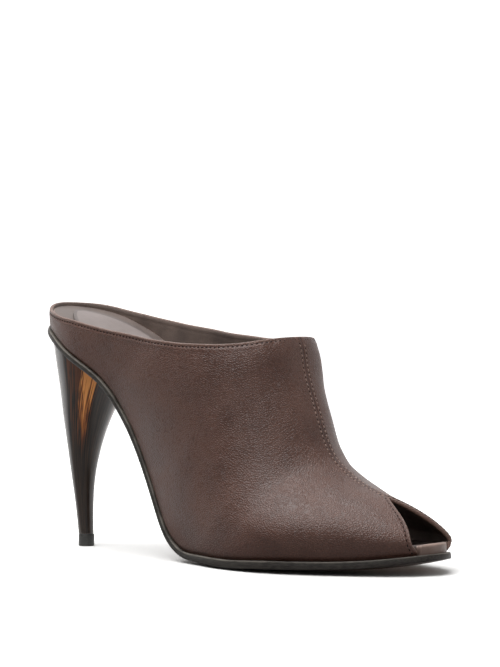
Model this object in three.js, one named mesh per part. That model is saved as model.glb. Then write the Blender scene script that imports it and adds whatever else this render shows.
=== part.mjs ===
import * as THREE from "three";

// High-heeled mule for the right foot. Millimetres, +X to the toe, +Y to the inner side, +Z up.
// The origin is the middle of the heel tip's ground face.

// Driving sizes.
const LENGTH = 213; // plan length of the sole's top, back of the seat to the toe
const BACK_X = -14; // back of the seat, behind the middle of the heel tip
const BALL_WIDTH = 73; // width of the feather line at the ball
const HEEL_HEIGHT = 98.5; // rise of the sole's top edge from the ball to the back of the seat
const INSTEP_HEIGHT = 98; // height of the throat above the floor
const TOE_SWING = 10; // sideways reach of the toe to the inner side
const SEAT_RADIUS = 23; // plan radius of the back of the seat
const TOE_RADIUS = 12; // plan radius of the toe
const BALL_TOP = 4.4; // height of the sole's top edge at the ball
const CROWN = 1.6; // drop of the sole's middle below its edges
const WAIST_TWIST = 3; // rise of the sole's inner edge above its outer edge at the waist
const WALL = 2; // thickness of the upper
const GAP = 0.45; // clearance between seated pieces, measured square to the sole
const SEAM_WIDTH = 1.3; // half-width of the groove along the centre seam
const SEAM_DEPTH = 0.35;
const SEAT_THICKNESS = 2.5; // outsole under the seat and the waist
const BALL_THICKNESS = 3.6; // outsole under the ball
const TOE_THICKNESS = 2.8; // outsole at the toe
const BALL_WELT = 0.9; // outsole showing outside the upper at the ball
const SEAT_WELT = 0.6; // outsole showing outside the upper at the seat
const PAD_THICKNESS = 9.2; // insole where it is thickest, behind the waist
const TOE_INSET = 0.8; // step from the sole's feather line in to the insole at the open toe
const THROAT_AT = 0.332; // share of the length where the throat's section stands
const APEX_AT = 0.8465; // share of the length where the toe opening starts
const OUTER_CORNER_AT = 0.981; // share where the opening meets the sole on the outer side
const INNER_CORNER_AT = 0.968; // share where the opening meets the sole on the inner side
const CORNER_SHARE = 0.06; // share of the side wall left standing at those corners
const OUTER_SLANT = 0.4; // share of the outer wall that the opening takes at a steady rate
const INNER_SLANT = 0.32; // the same on the inner side
const SOCK_THICKNESS = 1;
const SOCK_BORDER = 5; // bare insole round the sock pad
const SOCK_FRONT_AT = 0.44; // front end of the sock pad, share of the length
const TIP_HEIGHT = 5.4;
const TIP_RADIUS = 3.6;

// Sections of the foot's shape, back to toe.
// at: share of LENGTH; rise: sole height, share of HEEL_HEIGHT above BALL_TOP;
// twist: inner edge above the outer edge, share of WAIST_TWIST;
// outer, inner: feather half-widths, share of BALL_WIDTH;
// crestX: share of LENGTH from the back to the section's crest; crestZ: share of INSTEP_HEIGHT;
// full: height of the widest place, share of the section; outerBulge, innerBulge: widening there;
// outerRound, innerRound: how square a shoulder stands above the widest place, 2 being an ellipse.
const SECTION_COLUMNS = ["at", "rise", "twist", "outer", "inner", "crestX", "crestZ",
  "full", "outerBulge", "innerBulge", "outerRound", "innerRound"];
const SECTION_ROWS = [
  [0.0, 1.0, 0.0, 0, 0, -0.009, 1.582, 0.15, 0.03, 0.03, 2.1, 2.1],
  [0.065, 0.943, 0.167, 0.285, 0.285, 0.103, 1.633, 0.155, 0.04, 0.04, 2.1, 2.1],
  [0.122, 0.874, 0.4, 0.337, 0.334, 0.234, 1.612, 0.17, 0.05, 0.055, 2.1, 2.1],
  [0.187, 0.7995, 0.667, 0.341, 0.318, 0.402, 1.49, 0.26, 0.085, 0.11, 2.1, 2.1],
  [0.243, 0.7107, 0.867, 0.329, 0.288, 0.523, 1.327, 0.37, 0.167, 0.26, 2.2, 2.2],
  [0.28, 0.6132, 1.0, 0.315, 0.26, 0.592, 1.204, 0.44, 0.31, 0.47, 2.35, 2.35],
  [0.332, 0.4305, 1.0, 0.308, 0.236, 0.669, 1.0, 0.51, 0.38, 0.69, 2.5, 2.3],
  [0.374, 0.2386, 0.933, 0.31, 0.226, 0.682, 0.892, 0.52, 0.39, 0.689, 2.3, 2.42],
  [0.41, 0.098, 0.74, 0.328, 0.231, 0.6925, 0.8036, 0.504, 0.34, 0.652, 2.16, 2.21],
  [0.444, 0.0285, 0.5, 0.342, 0.253, 0.707, 0.716, 0.48, 0.32, 0.576, 2.05, 2.037],
  [0.514, 0.002, 0.1, 0.397, 0.349, 0.7337, 0.5575, 0.44, 0.21, 0.345, 1.85, 1.675],
  [0.6075, 0.0, 0.0, 0.475, 0.471, 0.765, 0.456, 0.35, 0.09, 0.0906, 1.8, 1.647],
  [0.705, 0.008, 0.0, 0.5, 0.514, 0.8038, 0.3928, 0.315, 0.065, 0.0545, 1.85, 1.604],
  [0.822, 0.0142, 0.0, 0.416, 0.452, 0.8639, 0.3347, 0.33, 0.06, 0.048, 1.9, 1.4225],
  [0.907, 0.0239, 0.0, 0.301, 0.347, 0.9308, 0.2679, 0.38, 0.05, 0.0436, 1.95, 1.489],
  [0.953, 0.0355, 0.0, 0.218, 0.249, 0.9737, 0.2027, 0.42, 0.05, 0.0272, 2.0, 1.4576],
  [1.0, 0.0497, 0.0, 0, 0, 1.0, 0.136, 0.5, 0.04, 0.04, 2.0, 2.0],
];

// Topline behind the throat: share of the section's height, 1 at the throat itself.
const RIM_COLUMNS = ["at", "outer", "inner"];
const RIM_ROWS = [
  [0.0, 0.169, 0.169],
  [0.033, 0.145, 0.176],
  [0.065, 0.152, 0.178],
  [0.122, 0.203, 0.208],
  [0.187, 0.275, 0.277],
  [0.243, 0.41, 0.411],
  [0.28, 0.572, 0.573],
  [0.3, 0.703, 0.705],
  [0.318, 0.85, 0.84],
  [0.332, 1.0, 1.0],
];

// pad: insole thickness, share of PAD_THICKNESS;
// ball, toe: outsole thickness as steps from SEAT_THICKNESS to BALL_THICKNESS to TOE_THICKNESS.
const STACK_COLUMNS = ["at", "pad", "ball", "toe"];
const STACK_ROWS = [
  [0.0, 0.826, 0, 0],
  [0.15, 1, 0, 0],
  [0.4, 0.935, 0, 0],
  [0.52, 0.652, 0.6, 0],
  [0.62, 0.522, 1, 0],
  [0.85, 0.5, 1, 0.2],
  [1.0, 0.489, 1, 1],
];

// Rings of the heel, ground to seat.
// up: share of the seat's height; back: share of BACK_X; front: share of LENGTH; half: share of BALL_WIDTH.
const HEEL_COLUMNS = ["up", "back", "front", "half"];
const HEEL_ROWS = [
  [0.0, 0.225, 0.016, 0.0455],
  [0.165, 0.362, 0.0141, 0.0548],
  [0.301, 0.511, 0.0174, 0.0733],
  [0.437, 0.634, 0.0314, 0.1044],
  [0.597, 0.738, 0.063, 0.157],
  [0.699, 0.757, 0.0932, 0.2034],
  [0.796, 0.792, 0.1298, 0.2506],
  [0.893, 0.832, 0.1559, 0.2934],
  [1.02, 0.87, 0.1732, 0.3226],
];

// Smooth curve through the points of two columns (natural cubic).
function smoothCurve(xs, ys) {
  const n = xs.length;
  const second = new Array(n).fill(0);
  const work = new Array(n).fill(0);
  for (let i = 1; i < n - 1; i += 1) {
    const ratio = (xs[i] - xs[i - 1]) / (xs[i + 1] - xs[i - 1]);
    const scale = ratio * second[i - 1] + 2;
    const slopeAfter = (ys[i + 1] - ys[i]) / (xs[i + 1] - xs[i]);
    const slopeBefore = (ys[i] - ys[i - 1]) / (xs[i] - xs[i - 1]);
    second[i] = (ratio - 1) / scale;
    work[i] = ((6 * (slopeAfter - slopeBefore)) / (xs[i + 1] - xs[i - 1]) - ratio * work[i - 1]) / scale;
  }
  for (let i = n - 2; i >= 0; i -= 1) {
    second[i] = second[i] * second[i + 1] + work[i];
  }
  return (x) => {
    let k = 0;
    while (k < n - 2 && x > xs[k + 1]) {
      k += 1;
    }
    const h = xs[k + 1] - xs[k];
    const a = (xs[k + 1] - x) / h;
    const b = (x - xs[k]) / h;
    const bend = ((a * a * a - a) * second[k] + (b * b * b - b) * second[k + 1]) * ((h * h) / 6);
    return a * ys[k] + b * ys[k + 1] + bend;
  };
}

// Curve that never overshoots its points.
function steadyCurve(xs, ys) {
  const n = xs.length;
  const chord = [];
  for (let i = 0; i < n - 1; i += 1) {
    chord.push((ys[i + 1] - ys[i]) / (xs[i + 1] - xs[i]));
  }
  const slope = new Array(n).fill(0);
  slope[0] = chord[0];
  slope[n - 1] = chord[n - 2];
  for (let i = 1; i < n - 1; i += 1) {
    const before = chord[i - 1];
    const after = chord[i];
    slope[i] = before * after > 0 ? (2 * before * after) / (before + after) : 0;
  }
  return (x) => {
    const inside = Math.min(Math.max(x, xs[0]), xs[n - 1]);
    let k = 0;
    while (k < n - 2 && inside > xs[k + 1]) {
      k += 1;
    }
    const h = xs[k + 1] - xs[k];
    const s = (inside - xs[k]) / h;
    const s2 = s * s;
    const s3 = s2 * s;
    const start = (2 * s3 - 3 * s2 + 1) * ys[k] + (s3 - 2 * s2 + s) * h * slope[k];
    const end = (-2 * s3 + 3 * s2) * ys[k + 1] + (s3 - s2) * h * slope[k + 1];
    return start + end;
  };
}

function column(rows, columns, name) {
  const index = columns.indexOf(name);
  return rows.map((row) => row[index]);
}

const sectionAt = column(SECTION_ROWS, SECTION_COLUMNS, "at");

function sectionSmooth(name) {
  return smoothCurve(sectionAt, column(SECTION_ROWS, SECTION_COLUMNS, name));
}

function sectionSteady(name) {
  return steadyCurve(sectionAt, column(SECTION_ROWS, SECTION_COLUMNS, name));
}

function roundEnded(name) {
  // A half-width that closes as a round end at both ends of the sole.
  const shares = column(SECTION_ROWS, SECTION_COLUMNS, name);
  const full = sectionAt.map((at, i) => {
    if (at === 0) {
      return Math.sqrt(2 * SEAT_RADIUS * LENGTH);
    }
    if (at === 1) {
      return Math.sqrt(2 * TOE_RADIUS * LENGTH);
    }
    return (shares[i] * BALL_WIDTH) / Math.sqrt(at * (1 - at));
  });
  const curve = smoothCurve(sectionAt, full);
  return (at) => {
    const inside = Math.min(Math.max(at, 0), 1);
    return Math.sqrt(inside * (1 - inside)) * curve(inside);
  };
}

const rise = sectionSmooth("rise");
const twist = sectionSteady("twist");
const crestX = sectionSmooth("crestX");
const crestZ = sectionSmooth("crestZ");
const full = sectionSteady("full");
const outerHalf = roundEnded("outer");
const innerHalf = roundEnded("inner");
const outerBulge = sectionSteady("outerBulge");
const innerBulge = sectionSteady("innerBulge");
const outerRound = sectionSteady("outerRound");
const innerRound = sectionSteady("innerRound");
const rimAt = column(RIM_ROWS, RIM_COLUMNS, "at");
const outerRim = steadyCurve(rimAt, column(RIM_ROWS, RIM_COLUMNS, "outer"));
const innerRim = steadyCurve(rimAt, column(RIM_ROWS, RIM_COLUMNS, "inner"));
const stackAt = column(STACK_ROWS, STACK_COLUMNS, "at");
const padThickness = steadyCurve(stackAt, column(STACK_ROWS, STACK_COLUMNS, "pad"));
const ballStep = steadyCurve(stackAt, column(STACK_ROWS, STACK_COLUMNS, "ball"));
const toeStep = steadyCurve(stackAt, column(STACK_ROWS, STACK_COLUMNS, "toe"));

// The two sides: outer is -Y, inner is +Y.
const OUTER = {
  sign: -1,
  half: outerHalf,
  bulge: outerBulge,
  round: outerRound,
  rim: outerRim,
  corner: OUTER_CORNER_AT,
  slant: OUTER_SLANT,
};
const INNER = {
  sign: 1,
  half: innerHalf,
  bulge: innerBulge,
  round: innerRound,
  rim: innerRim,
  corner: INNER_CORNER_AT,
  slant: INNER_SLANT,
};

function vec(x, y, z) {
  return new THREE.Vector3(x, y, z);
}

function mix(a, b, share) {
  return a + (b - a) * share;
}

function plainX(at) {
  return BACK_X + at * LENGTH;
}

function middleY(at) {
  return TOE_SWING * Math.pow(Math.max(0, (at - 0.5) / 0.5), 1.6);
}

function edgeHeight(side, at) {
  const lift = side === INNER ? twist(at) * WAIST_TWIST : 0;
  return BALL_TOP + rise(at) * HEEL_HEIGHT + lift;
}

function outsoleThickness(at) {
  const atBall = mix(SEAT_THICKNESS, BALL_THICKNESS, ballStep(at));
  return mix(atBall, TOE_THICKNESS, toeStep(at));
}

function crownDrop(at) {
  const inside = Math.min(Math.max(at, 0), 1);
  return CROWN * (1 - Math.pow(1 - 4 * inside * (1 - inside), 3));
}

// Height of the sole's top over any plan position.
function soleTop(x, y) {
  const at = (x - BACK_X) / LENGTH;
  const inside = Math.min(Math.max(at, 0.0005), 0.9995);
  const offset = y - middleY(inside);
  const half = offset < 0 ? outerHalf(inside) : innerHalf(inside);
  const across = Math.min(Math.max(offset / half, -1), 1);
  const outerZ = edgeHeight(OUTER, at);
  const innerZ = edgeHeight(INNER, at);
  const middle = (outerZ + innerZ) / 2;
  return middle + (across * (innerZ - outerZ)) / 2 - crownDrop(at) * (1 - across * across);
}

function soleNormal(x, y) {
  const step = 0.05;
  const alongX = (soleTop(x + step, y) - soleTop(x - step, y)) / (2 * step);
  const alongY = (soleTop(x, y + step) - soleTop(x, y - step)) / (2 * step);
  return vec(-alongX, -alongY, 1).normalize();
}

function clearOfSole(x, y, distance) {
  return soleTop(x, y) + distance / soleNormal(x, y).z;
}

// Feather line of one side, moved outward in plan by the given distance.
function featherPoint(side, at, outward) {
  const step = 0.0004;
  const low = Math.max(at - step, 0);
  const high = Math.min(at + step, 1);
  const along = vec(plainX(high) - plainX(low), 0, 0);
  along.y = middleY(high) + side.sign * side.half(high) - middleY(low) - side.sign * side.half(low);
  if (at < 0.00001) {
    along.set(0, side.sign, 0);
  }
  if (at > 0.99999) {
    along.set(0, -side.sign, 0);
  }
  along.normalize();
  const x = plainX(at) - side.sign * along.y * outward;
  const y = middleY(at) + side.sign * (side.half(at) + along.x * outward);
  return vec(x, y, 0);
}

// Outline of one cross-section of the upper, from the sole up to its crest.
function sectionPoint(side, at, share) {
  const baseX = plainX(at);
  const baseZ = edgeHeight(side, at);
  const topX = BACK_X + crestX(at) * LENGTH;
  const topZ = crestZ(at) * INSTEP_HEIGHT;
  const topAt = (topX - BACK_X) / LENGTH;
  const topY = middleY(Math.min(Math.max(topAt, 0), 1));
  const featherHalf = side.half(at);
  const fullHalf = featherHalf * (1 + side.bulge(at));
  const fullShare = full(at);
  let half = fullHalf;
  if (share < fullShare) {
    const below = 1 - share / fullShare;
    half = mix(fullHalf, featherHalf, below * below);
  } else {
    const above = Math.min((share - fullShare) / (1 - fullShare), 1);
    const power = side.round(at);
    half = fullHalf * Math.pow(Math.max(1 - Math.pow(above, power), 0), 1 / power);
  }
  const centre = mix(middleY(at), topY, Math.pow(Math.max(share, 0), 1.5));
  return vec(mix(baseX, topX, share), centre + side.sign * half, mix(baseZ, topZ, share));
}

function topShare(side, at) {
  return at < THROAT_AT ? side.rim(at) : 1;
}

// Points up one section, evenly spaced along its surface, the last step SEAM_WIDTH long.
function sectionColumn(side, at, rows, openShare) {
  const top = topShare(side, at);
  const fine = [];
  for (let i = 0; i <= 60; i += 1) {
    const share = top === 1 ? Math.sin((i / 60) * (Math.PI / 2)) : (i / 60) * top;
    fine.push(sectionPoint(side, at, share));
  }
  const lengths = [0];
  for (let i = 1; i < fine.length; i += 1) {
    lengths.push(lengths[i - 1] + fine[i].distanceTo(fine[i - 1]));
  }
  const total = lengths[lengths.length - 1] * openShare;
  const seam = Math.min(SEAM_WIDTH, total * 0.3);
  const points = [];
  for (let k = 0; k <= rows; k += 1) {
    const target = k === rows ? total : ((total - seam) * k) / (rows - 1);
    let i = 1;
    while (i < fine.length - 1 && lengths[i] < target) {
      i += 1;
    }
    const part = (target - lengths[i - 1]) / Math.max(lengths[i] - lengths[i - 1], 1e-9);
    points.push(fine[i - 1].clone().lerp(fine[i], part));
  }
  return points;
}

// How much of a section's outline is left beside the toe opening.
function openShareAt(side, at) {
  if (at <= APEX_AT) {
    return 1;
  }
  const along = (at - APEX_AT) / (side.corner - APEX_AT);
  return 1 - side.slant * along - (1 - side.slant - CORNER_SHARE) * Math.pow(along, 4.6);
}

function stationList(corner) {
  const list = [];
  const rear = 20;
  const vamp = 24;
  const toe = 10;
  for (let i = 0; i < rear; i += 1) {
    list.push(THROAT_AT * (0.5 - 0.5 * Math.cos((Math.PI * i) / rear)));
  }
  for (let i = 0; i < vamp; i += 1) {
    list.push(mix(THROAT_AT, APEX_AT, i / vamp));
  }
  for (let i = 0; i <= toe; i += 1) {
    list.push(mix(APEX_AT, corner, Math.sin((Math.PI / 2) * (i / toe))));
  }
  return list;
}

// A closed body from points and triangles; coincident points are joined.
class Shell {
  constructor() {
    this.points = [];
    this.faces = [];
    this.seen = new Map();
  }

  add(point) {
    const key = `${Math.round(point.x * 2e4)},${Math.round(point.y * 2e4)},${Math.round(point.z * 2e4)}`;
    if (!this.seen.has(key)) {
      this.seen.set(key, this.points.length);
      this.points.push(point.clone());
    }
    return this.seen.get(key);
  }

  face(a, b, c) {
    if (a !== b && b !== c && a !== c) {
      this.faces.push([a, b, c]);
    }
  }

  quad(a, b, c, d) {
    // Split along the shorter diagonal.
    if (this.points[a].distanceTo(this.points[c]) <= this.points[b].distanceTo(this.points[d])) {
      this.face(a, b, c);
      this.face(a, c, d);
    } else {
      this.face(a, b, d);
      this.face(b, c, d);
    }
  }

  // A sheet of rows of point numbers.
  sheet(grid) {
    for (let i = 0; i + 1 < grid.length; i += 1) {
      for (let j = 0; j + 1 < grid[i].length; j += 1) {
        this.quad(grid[i][j], grid[i + 1][j], grid[i + 1][j + 1], grid[i][j + 1]);
      }
    }
  }

  flipIfInsideOut() {
    let volume = 0;
    for (const [a, b, c] of this.faces) {
      volume += this.points[a].dot(this.points[b].clone().cross(this.points[c]));
    }
    if (volume < 0) {
      this.faces = this.faces.map(([a, b, c]) => [a, c, b]);
    }
  }

  mesh(name, finish) {
    this.flipIfInsideOut();
    const positions = [];
    for (const point of this.points) {
      positions.push(point.x, point.y, point.z);
    }
    const geometry = new THREE.BufferGeometry();
    geometry.setAttribute("position", new THREE.Float32BufferAttribute(positions, 3));
    geometry.setIndex(this.faces.flat());
    geometry.computeVertexNormals();
    const mesh = new THREE.Mesh(geometry, new THREE.MeshStandardMaterial(finish));
    mesh.name = name;
    return mesh;
  }
}

function pointNormals(points, faces) {
  const normals = points.map(() => vec(0, 0, 0));
  for (const [a, b, c] of faces) {
    const ab = points[b].clone().sub(points[a]);
    const ac = points[c].clone().sub(points[a]);
    const face = ab.cross(ac);
    normals[a].add(face);
    normals[b].add(face);
    normals[c].add(face);
  }
  return normals.map((normal) => normal.normalize());
}

// Outer skin of the upper: columns from the outer toe corner round the heel to the inner one.
function upperSkin() {
  const rows = 12;
  const columns = [];
  const outerStations = stationList(OUTER_CORNER_AT);
  for (let i = outerStations.length - 1; i >= 1; i -= 1) {
    const at = outerStations[i];
    columns.push(sectionColumn(OUTER, at, rows, openShareAt(OUTER, at)));
  }
  for (const at of stationList(INNER_CORNER_AT)) {
    columns.push(sectionColumn(INNER, at, rows, openShareAt(INNER, at)));
  }
  return columns;
}

// Edges used by one face only, walked as closed loops of point numbers.
function openLoops(faces) {
  const next = new Map();
  const used = new Set();
  for (const [a, b, c] of faces) {
    for (const [from, to] of [[a, b], [b, c], [c, a]]) {
      used.add(`${from}_${to}`);
    }
  }
  for (const [a, b, c] of faces) {
    for (const [from, to] of [[a, b], [b, c], [c, a]]) {
      if (!used.has(`${to}_${from}`)) {
        next.set(from, to);
      }
    }
  }
  const loops = [];
  while (next.size > 0) {
    const start = next.keys().next().value;
    const loop = [];
    let here = start;
    while (next.has(here)) {
      loop.push(here);
      const there = next.get(here);
      next.delete(here);
      here = there;
    }
    loops.push(loop);
  }
  return loops;
}

function makeUpper() {
  const skin = new Shell();
  const columns = upperSkin();
  const feet = new Set();
  const grid = columns.map((column) => column.map((point) => skin.add(point)));
  for (const ids of grid) {
    feet.add(ids[0]);
  }
  skin.sheet(grid);
  skin.flipIfInsideOut();
  const outward = pointNormals(skin.points, skin.faces);
  const middle = vec(LENGTH / 2, 0, INSTEP_HEIGHT / 2);
  let facing = 0;
  skin.points.forEach((point, i) => {
    facing += Math.sign(point.clone().sub(middle).dot(outward[i]));
  });
  if (facing < 0) {
    skin.faces = skin.faces.map(([a, b, c]) => [a, c, b]);
    outward.forEach((normal) => normal.negate());
  }
  const body = new Shell();
  const outerIds = skin.points.map((point, i) => {
    const lifted = point.clone();
    if (feet.has(i)) {
      lifted.z = clearOfSole(point.x, point.y, GAP);
    }
    return body.add(lifted);
  });
  const seamIds = new Set();
  grid.forEach((ids) => {
    const last = ids[ids.length - 1];
    const shared = grid.filter((other) => other[other.length - 1] === last).length > 1;
    if (shared) {
      seamIds.add(last);
    }
  });
  for (const id of seamIds) {
    body.points[outerIds[id]].addScaledVector(outward[id], -SEAM_DEPTH);
  }
  const innerIds = skin.points.map((point, i) => {
    const sunk = point.clone().addScaledVector(outward[i], -WALL);
    if (feet.has(i)) {
      sunk.z = clearOfSole(sunk.x, sunk.y, GAP);
    }
    return body.add(sunk);
  });
  for (const [a, b, c] of skin.faces) {
    body.face(outerIds[a], outerIds[b], outerIds[c]);
    body.face(innerIds[a], innerIds[c], innerIds[b]);
  }
  for (const loop of openLoops(skin.faces)) {
    for (let i = 0; i < loop.length; i += 1) {
      const here = loop[i];
      const there = loop[(i + 1) % loop.length];
      body.quad(outerIds[here], innerIds[here], innerIds[there], outerIds[there]);
    }
  }
  return body.mesh("upper", { color: 0x4a332d, roughness: 0.5, metalness: 0 });
}

// A plate from matching rows of edge points: top and bottom sheets and the edge between.
function makePlate(name, finish, tops, bottoms) {
  const body = new Shell();
  const topGrid = tops.map((row) => row.map((point) => body.add(point)));
  const bottomGrid = bottoms.map((row) => row.map((point) => body.add(point)));
  const last = topGrid[0].length - 1;
  for (let i = 0; i + 1 < topGrid.length; i += 1) {
    for (let j = 0; j < last; j += 1) {
      body.quad(topGrid[i][j], topGrid[i + 1][j], topGrid[i + 1][j + 1], topGrid[i][j + 1]);
      body.quad(bottomGrid[i][j + 1], bottomGrid[i + 1][j + 1], bottomGrid[i + 1][j], bottomGrid[i][j]);
    }
    body.quad(bottomGrid[i][0], bottomGrid[i + 1][0], topGrid[i + 1][0], topGrid[i][0]);
    body.quad(topGrid[i][last], topGrid[i + 1][last], bottomGrid[i + 1][last], bottomGrid[i][last]);
  }
  return body.mesh(name, finish);
}

function plateStations(count) {
  const list = [];
  for (let i = 0; i <= count; i += 1) {
    list.push(0.5 - 0.5 * Math.cos((Math.PI * i) / count));
  }
  return list;
}

function insoleThickness(at) {
  return padThickness(at) * PAD_THICKNESS;
}

function makeOutsole() {
  const across = 8;
  const tops = [];
  const bottoms = [];
  for (const at of plateStations(56)) {
    const welt = mix(SEAT_WELT, BALL_WELT, ballStep(at));
    const outerEdge = featherPoint(OUTER, at, welt);
    const innerEdge = featherPoint(INNER, at, welt);
    const top = [];
    const bottom = [];
    for (let j = 0; j <= across; j += 1) {
      const point = outerEdge.clone().lerp(innerEdge, j / across);
      point.z = soleTop(point.x, point.y);
      top.push(point);
      const under = point.clone();
      under.addScaledVector(soleNormal(point.x, point.y), -outsoleThickness(at));
      under.z = Math.max(under.z, 0);
      bottom.push(under);
    }
    tops.push(top);
    bottoms.push(bottom);
  }
  return makePlate("outsole", { color: 0x2b2a27, roughness: 0.45, metalness: 0 }, tops, bottoms);
}

// Inner face of the upper's wall at a height above the sole, for one side.
function liningPoint(side, at, height, clearance) {
  const reach = 1 / Math.max(crestZ(at) * INSTEP_HEIGHT - edgeHeight(side, at), 1);
  const step = 0.002;
  const upright = soleNormal(plainX(at), middleY(at));
  let share = 0;
  let point = vec(0, 0, 0);
  for (let i = 0; i < 200; i += 1) {
    const here = sectionPoint(side, at, share);
    const ahead = sectionPoint(side, Math.min(at + step, 1), share);
    const behind = at > step ? sectionPoint(side, at - step, share) : null;
    const other = side === OUTER ? INNER : OUTER;
    const start = behind || sectionPoint(other, step, share);
    const along = ahead.clone().sub(start);
    const up = sectionPoint(side, at, share + 0.01).sub(here);
    const normal = along.cross(up).normalize();
    if (normal.y * side.sign < 0 && at > step) {
      normal.negate();
    }
    if (at <= step && normal.x > 0) {
      normal.negate();
    }
    point = here.addScaledVector(normal, -(WALL + clearance));
    const above = (point.z - soleTop(point.x, point.y)) * upright.z;
    if (above >= height) {
      break;
    }
    share += Math.max((height - above) * 0.3, 0.05) * reach;
  }
  return point;
}

function insoleEdge(side, at) {
  const clearance = GAP * 1.2;
  const atCorner = side.corner;
  if (at <= atCorner - 0.004) {
    const foot = liningPoint(side, at, 0.01, clearance);
    const top = liningPoint(side, at, insoleThickness(at), clearance);
    foot.z = clearOfSole(foot.x, foot.y, GAP);
    return { foot, top };
  }
  const bare = Math.min(Math.max((at - atCorner) / 0.006, 0), 1);
  const inset = mix(WALL + clearance, TOE_INSET, bare * bare * (3 - 2 * bare));
  const foot = featherPoint(side, at, -inset);
  foot.z = clearOfSole(foot.x, foot.y, GAP);
  const top = foot.clone();
  top.z += insoleThickness(at) - GAP;
  return { foot, top };
}

function insoleStations(corner) {
  const list = [];
  const seat = 10;
  const body = 34;
  const toe = 4;
  const bare = 10;
  const seatEnd = 0.12;
  for (let i = 0; i < seat; i += 1) {
    list.push(seatEnd * (1 - Math.cos((Math.PI * i) / (2 * seat))));
  }
  for (let i = 0; i < body; i += 1) {
    list.push(mix(seatEnd, APEX_AT, i / body));
  }
  for (let i = 0; i < toe; i += 1) {
    list.push(mix(APEX_AT, corner, i / toe));
  }
  for (let i = 0; i <= bare; i += 1) {
    list.push(mix(corner, 1, Math.sin((Math.PI * i) / (2 * bare))));
  }
  return list;
}

// One cross-section of the insole, edge to edge: share 0 is the outer side, 1 the inner side.
function insoleSection(outerAt, innerAt) {
  const outerSide = insoleEdge(OUTER, outerAt);
  const innerSide = insoleEdge(INNER, innerAt);
  const dish = 0.5 * crownDrop(outerAt);
  return {
    width: outerSide.top.distanceTo(innerSide.top),
    over(share) {
      const side = 2 * share - 1;
      const point = outerSide.top.clone().lerp(innerSide.top, share);
      point.z -= dish * (1 - side * side);
      return point;
    },
    under(share) {
      const point = outerSide.foot.clone().lerp(innerSide.foot, share);
      point.z = clearOfSole(point.x, point.y, GAP);
      return point;
    },
  };
}

function makeInsole() {
  const across = 6;
  const innerStations = insoleStations(INNER_CORNER_AT);
  const tops = [];
  const bottoms = [];
  insoleStations(OUTER_CORNER_AT).forEach((outerAt, i) => {
    const section = insoleSection(outerAt, innerStations[i]);
    const top = [];
    const bottom = [];
    for (let j = 0; j <= across; j += 1) {
      top.push(section.over(j / across));
      bottom.push(section.under(j / across));
    }
    tops.push(top);
    bottoms.push(bottom);
  });
  return makePlate("insole", { color: 0x8f7d75, roughness: 0.6, metalness: 0 }, tops, bottoms);
}

// Raised pad on the insole, from the seat forward under the vamp.
function makeSockPad() {
  const across = 4;
  const count = 30;
  const backAt = SOCK_BORDER / LENGTH + 0.012;
  const tops = [];
  const bottoms = [];
  for (let i = 0; i <= count; i += 1) {
    const along = 0.5 - 0.5 * Math.cos((Math.PI * i) / count);
    const at = mix(backAt, SOCK_FRONT_AT, along);
    const section = insoleSection(at, at);
    const rounding = Math.pow(Math.max(1 - Math.pow(Math.abs(2 * along - 1), 4), 0), 0.5);
    const reach = Math.max(0.5 - SOCK_BORDER / section.width, 0) * rounding;
    const upright = soleNormal(plainX(at), middleY(at));
    const top = [];
    const bottom = [];
    for (let j = 0; j <= across; j += 1) {
      const point = section.over(0.5 + reach * ((2 * j) / across - 1));
      const low = point.clone().addScaledVector(upright, GAP);
      bottom.push(low);
      top.push(low.clone().addScaledVector(upright, SOCK_THICKNESS));
    }
    tops.push(top);
    bottoms.push(bottom);
  }
  return makePlate("sock_pad", { color: 0xa3968f, roughness: 0.55, metalness: 0 }, tops, bottoms);
}

function heelRing(share) {
  const up = column(HEEL_ROWS, HEEL_COLUMNS, "up");
  return {
    back: smoothCurve(up, column(HEEL_ROWS, HEEL_COLUMNS, "back"))(share) * BACK_X,
    front: smoothCurve(up, column(HEEL_ROWS, HEEL_COLUMNS, "front"))(share) * LENGTH,
    half: smoothCurve(up, column(HEEL_ROWS, HEEL_COLUMNS, "half"))(share) * BALL_WIDTH,
  };
}

function heelPoint(angle, z) {
  const ring = heelRing(z / (BALL_TOP + HEEL_HEIGHT));
  const centre = ring.back + ring.half;
  const reach = Math.cos(angle) > 0 ? ring.front - centre : ring.half;
  return vec(centre + reach * Math.cos(angle), ring.half * Math.sin(angle), z);
}

function soleUnder(x, y) {
  const at = (x - BACK_X) / LENGTH;
  return soleTop(x, y) - (outsoleThickness(at) + GAP * 1.1) / soleNormal(x, y).z;
}

function makeHeel() {
  const around = 40;
  const levels = 16;
  const bottom = TIP_HEIGHT + GAP;
  const seatHeight = BALL_TOP + HEEL_HEIGHT;
  const body = new Shell();
  const rings = [];
  for (let k = 0; k <= levels; k += 1) {
    rings.push([]);
  }
  for (let j = 0; j < around; j += 1) {
    const angle = (2 * Math.PI * j) / around;
    let low = seatHeight * 0.4;
    let high = seatHeight * 1.06;
    for (let i = 0; i < 40; i += 1) {
      const middle = (low + high) / 2;
      const point = heelPoint(angle, middle);
      if (point.z < soleUnder(point.x, point.y)) {
        low = middle;
      } else {
        high = middle;
      }
    }
    for (let k = 0; k <= levels; k += 1) {
      rings[k].push(body.add(heelPoint(angle, mix(bottom, low, k / levels))));
    }
  }
  for (let k = 0; k < levels; k += 1) {
    for (let j = 0; j < around; j += 1) {
      const after = (j + 1) % around;
      body.quad(rings[k][j], rings[k][after], rings[k + 1][after], rings[k + 1][j]);
    }
  }
  const centreX = heelRing(0).back + heelRing(0).half;
  const foot = body.add(vec(centreX, 0, bottom));
  for (let j = 0; j < around; j += 1) {
    body.face(foot, rings[0][(j + 1) % around], rings[0][j]);
  }
  capUnderSole(body, rings[levels]);
  return body.mesh("heel", { color: 0x2c2623, roughness: 0.18, metalness: 0 });
}

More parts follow.
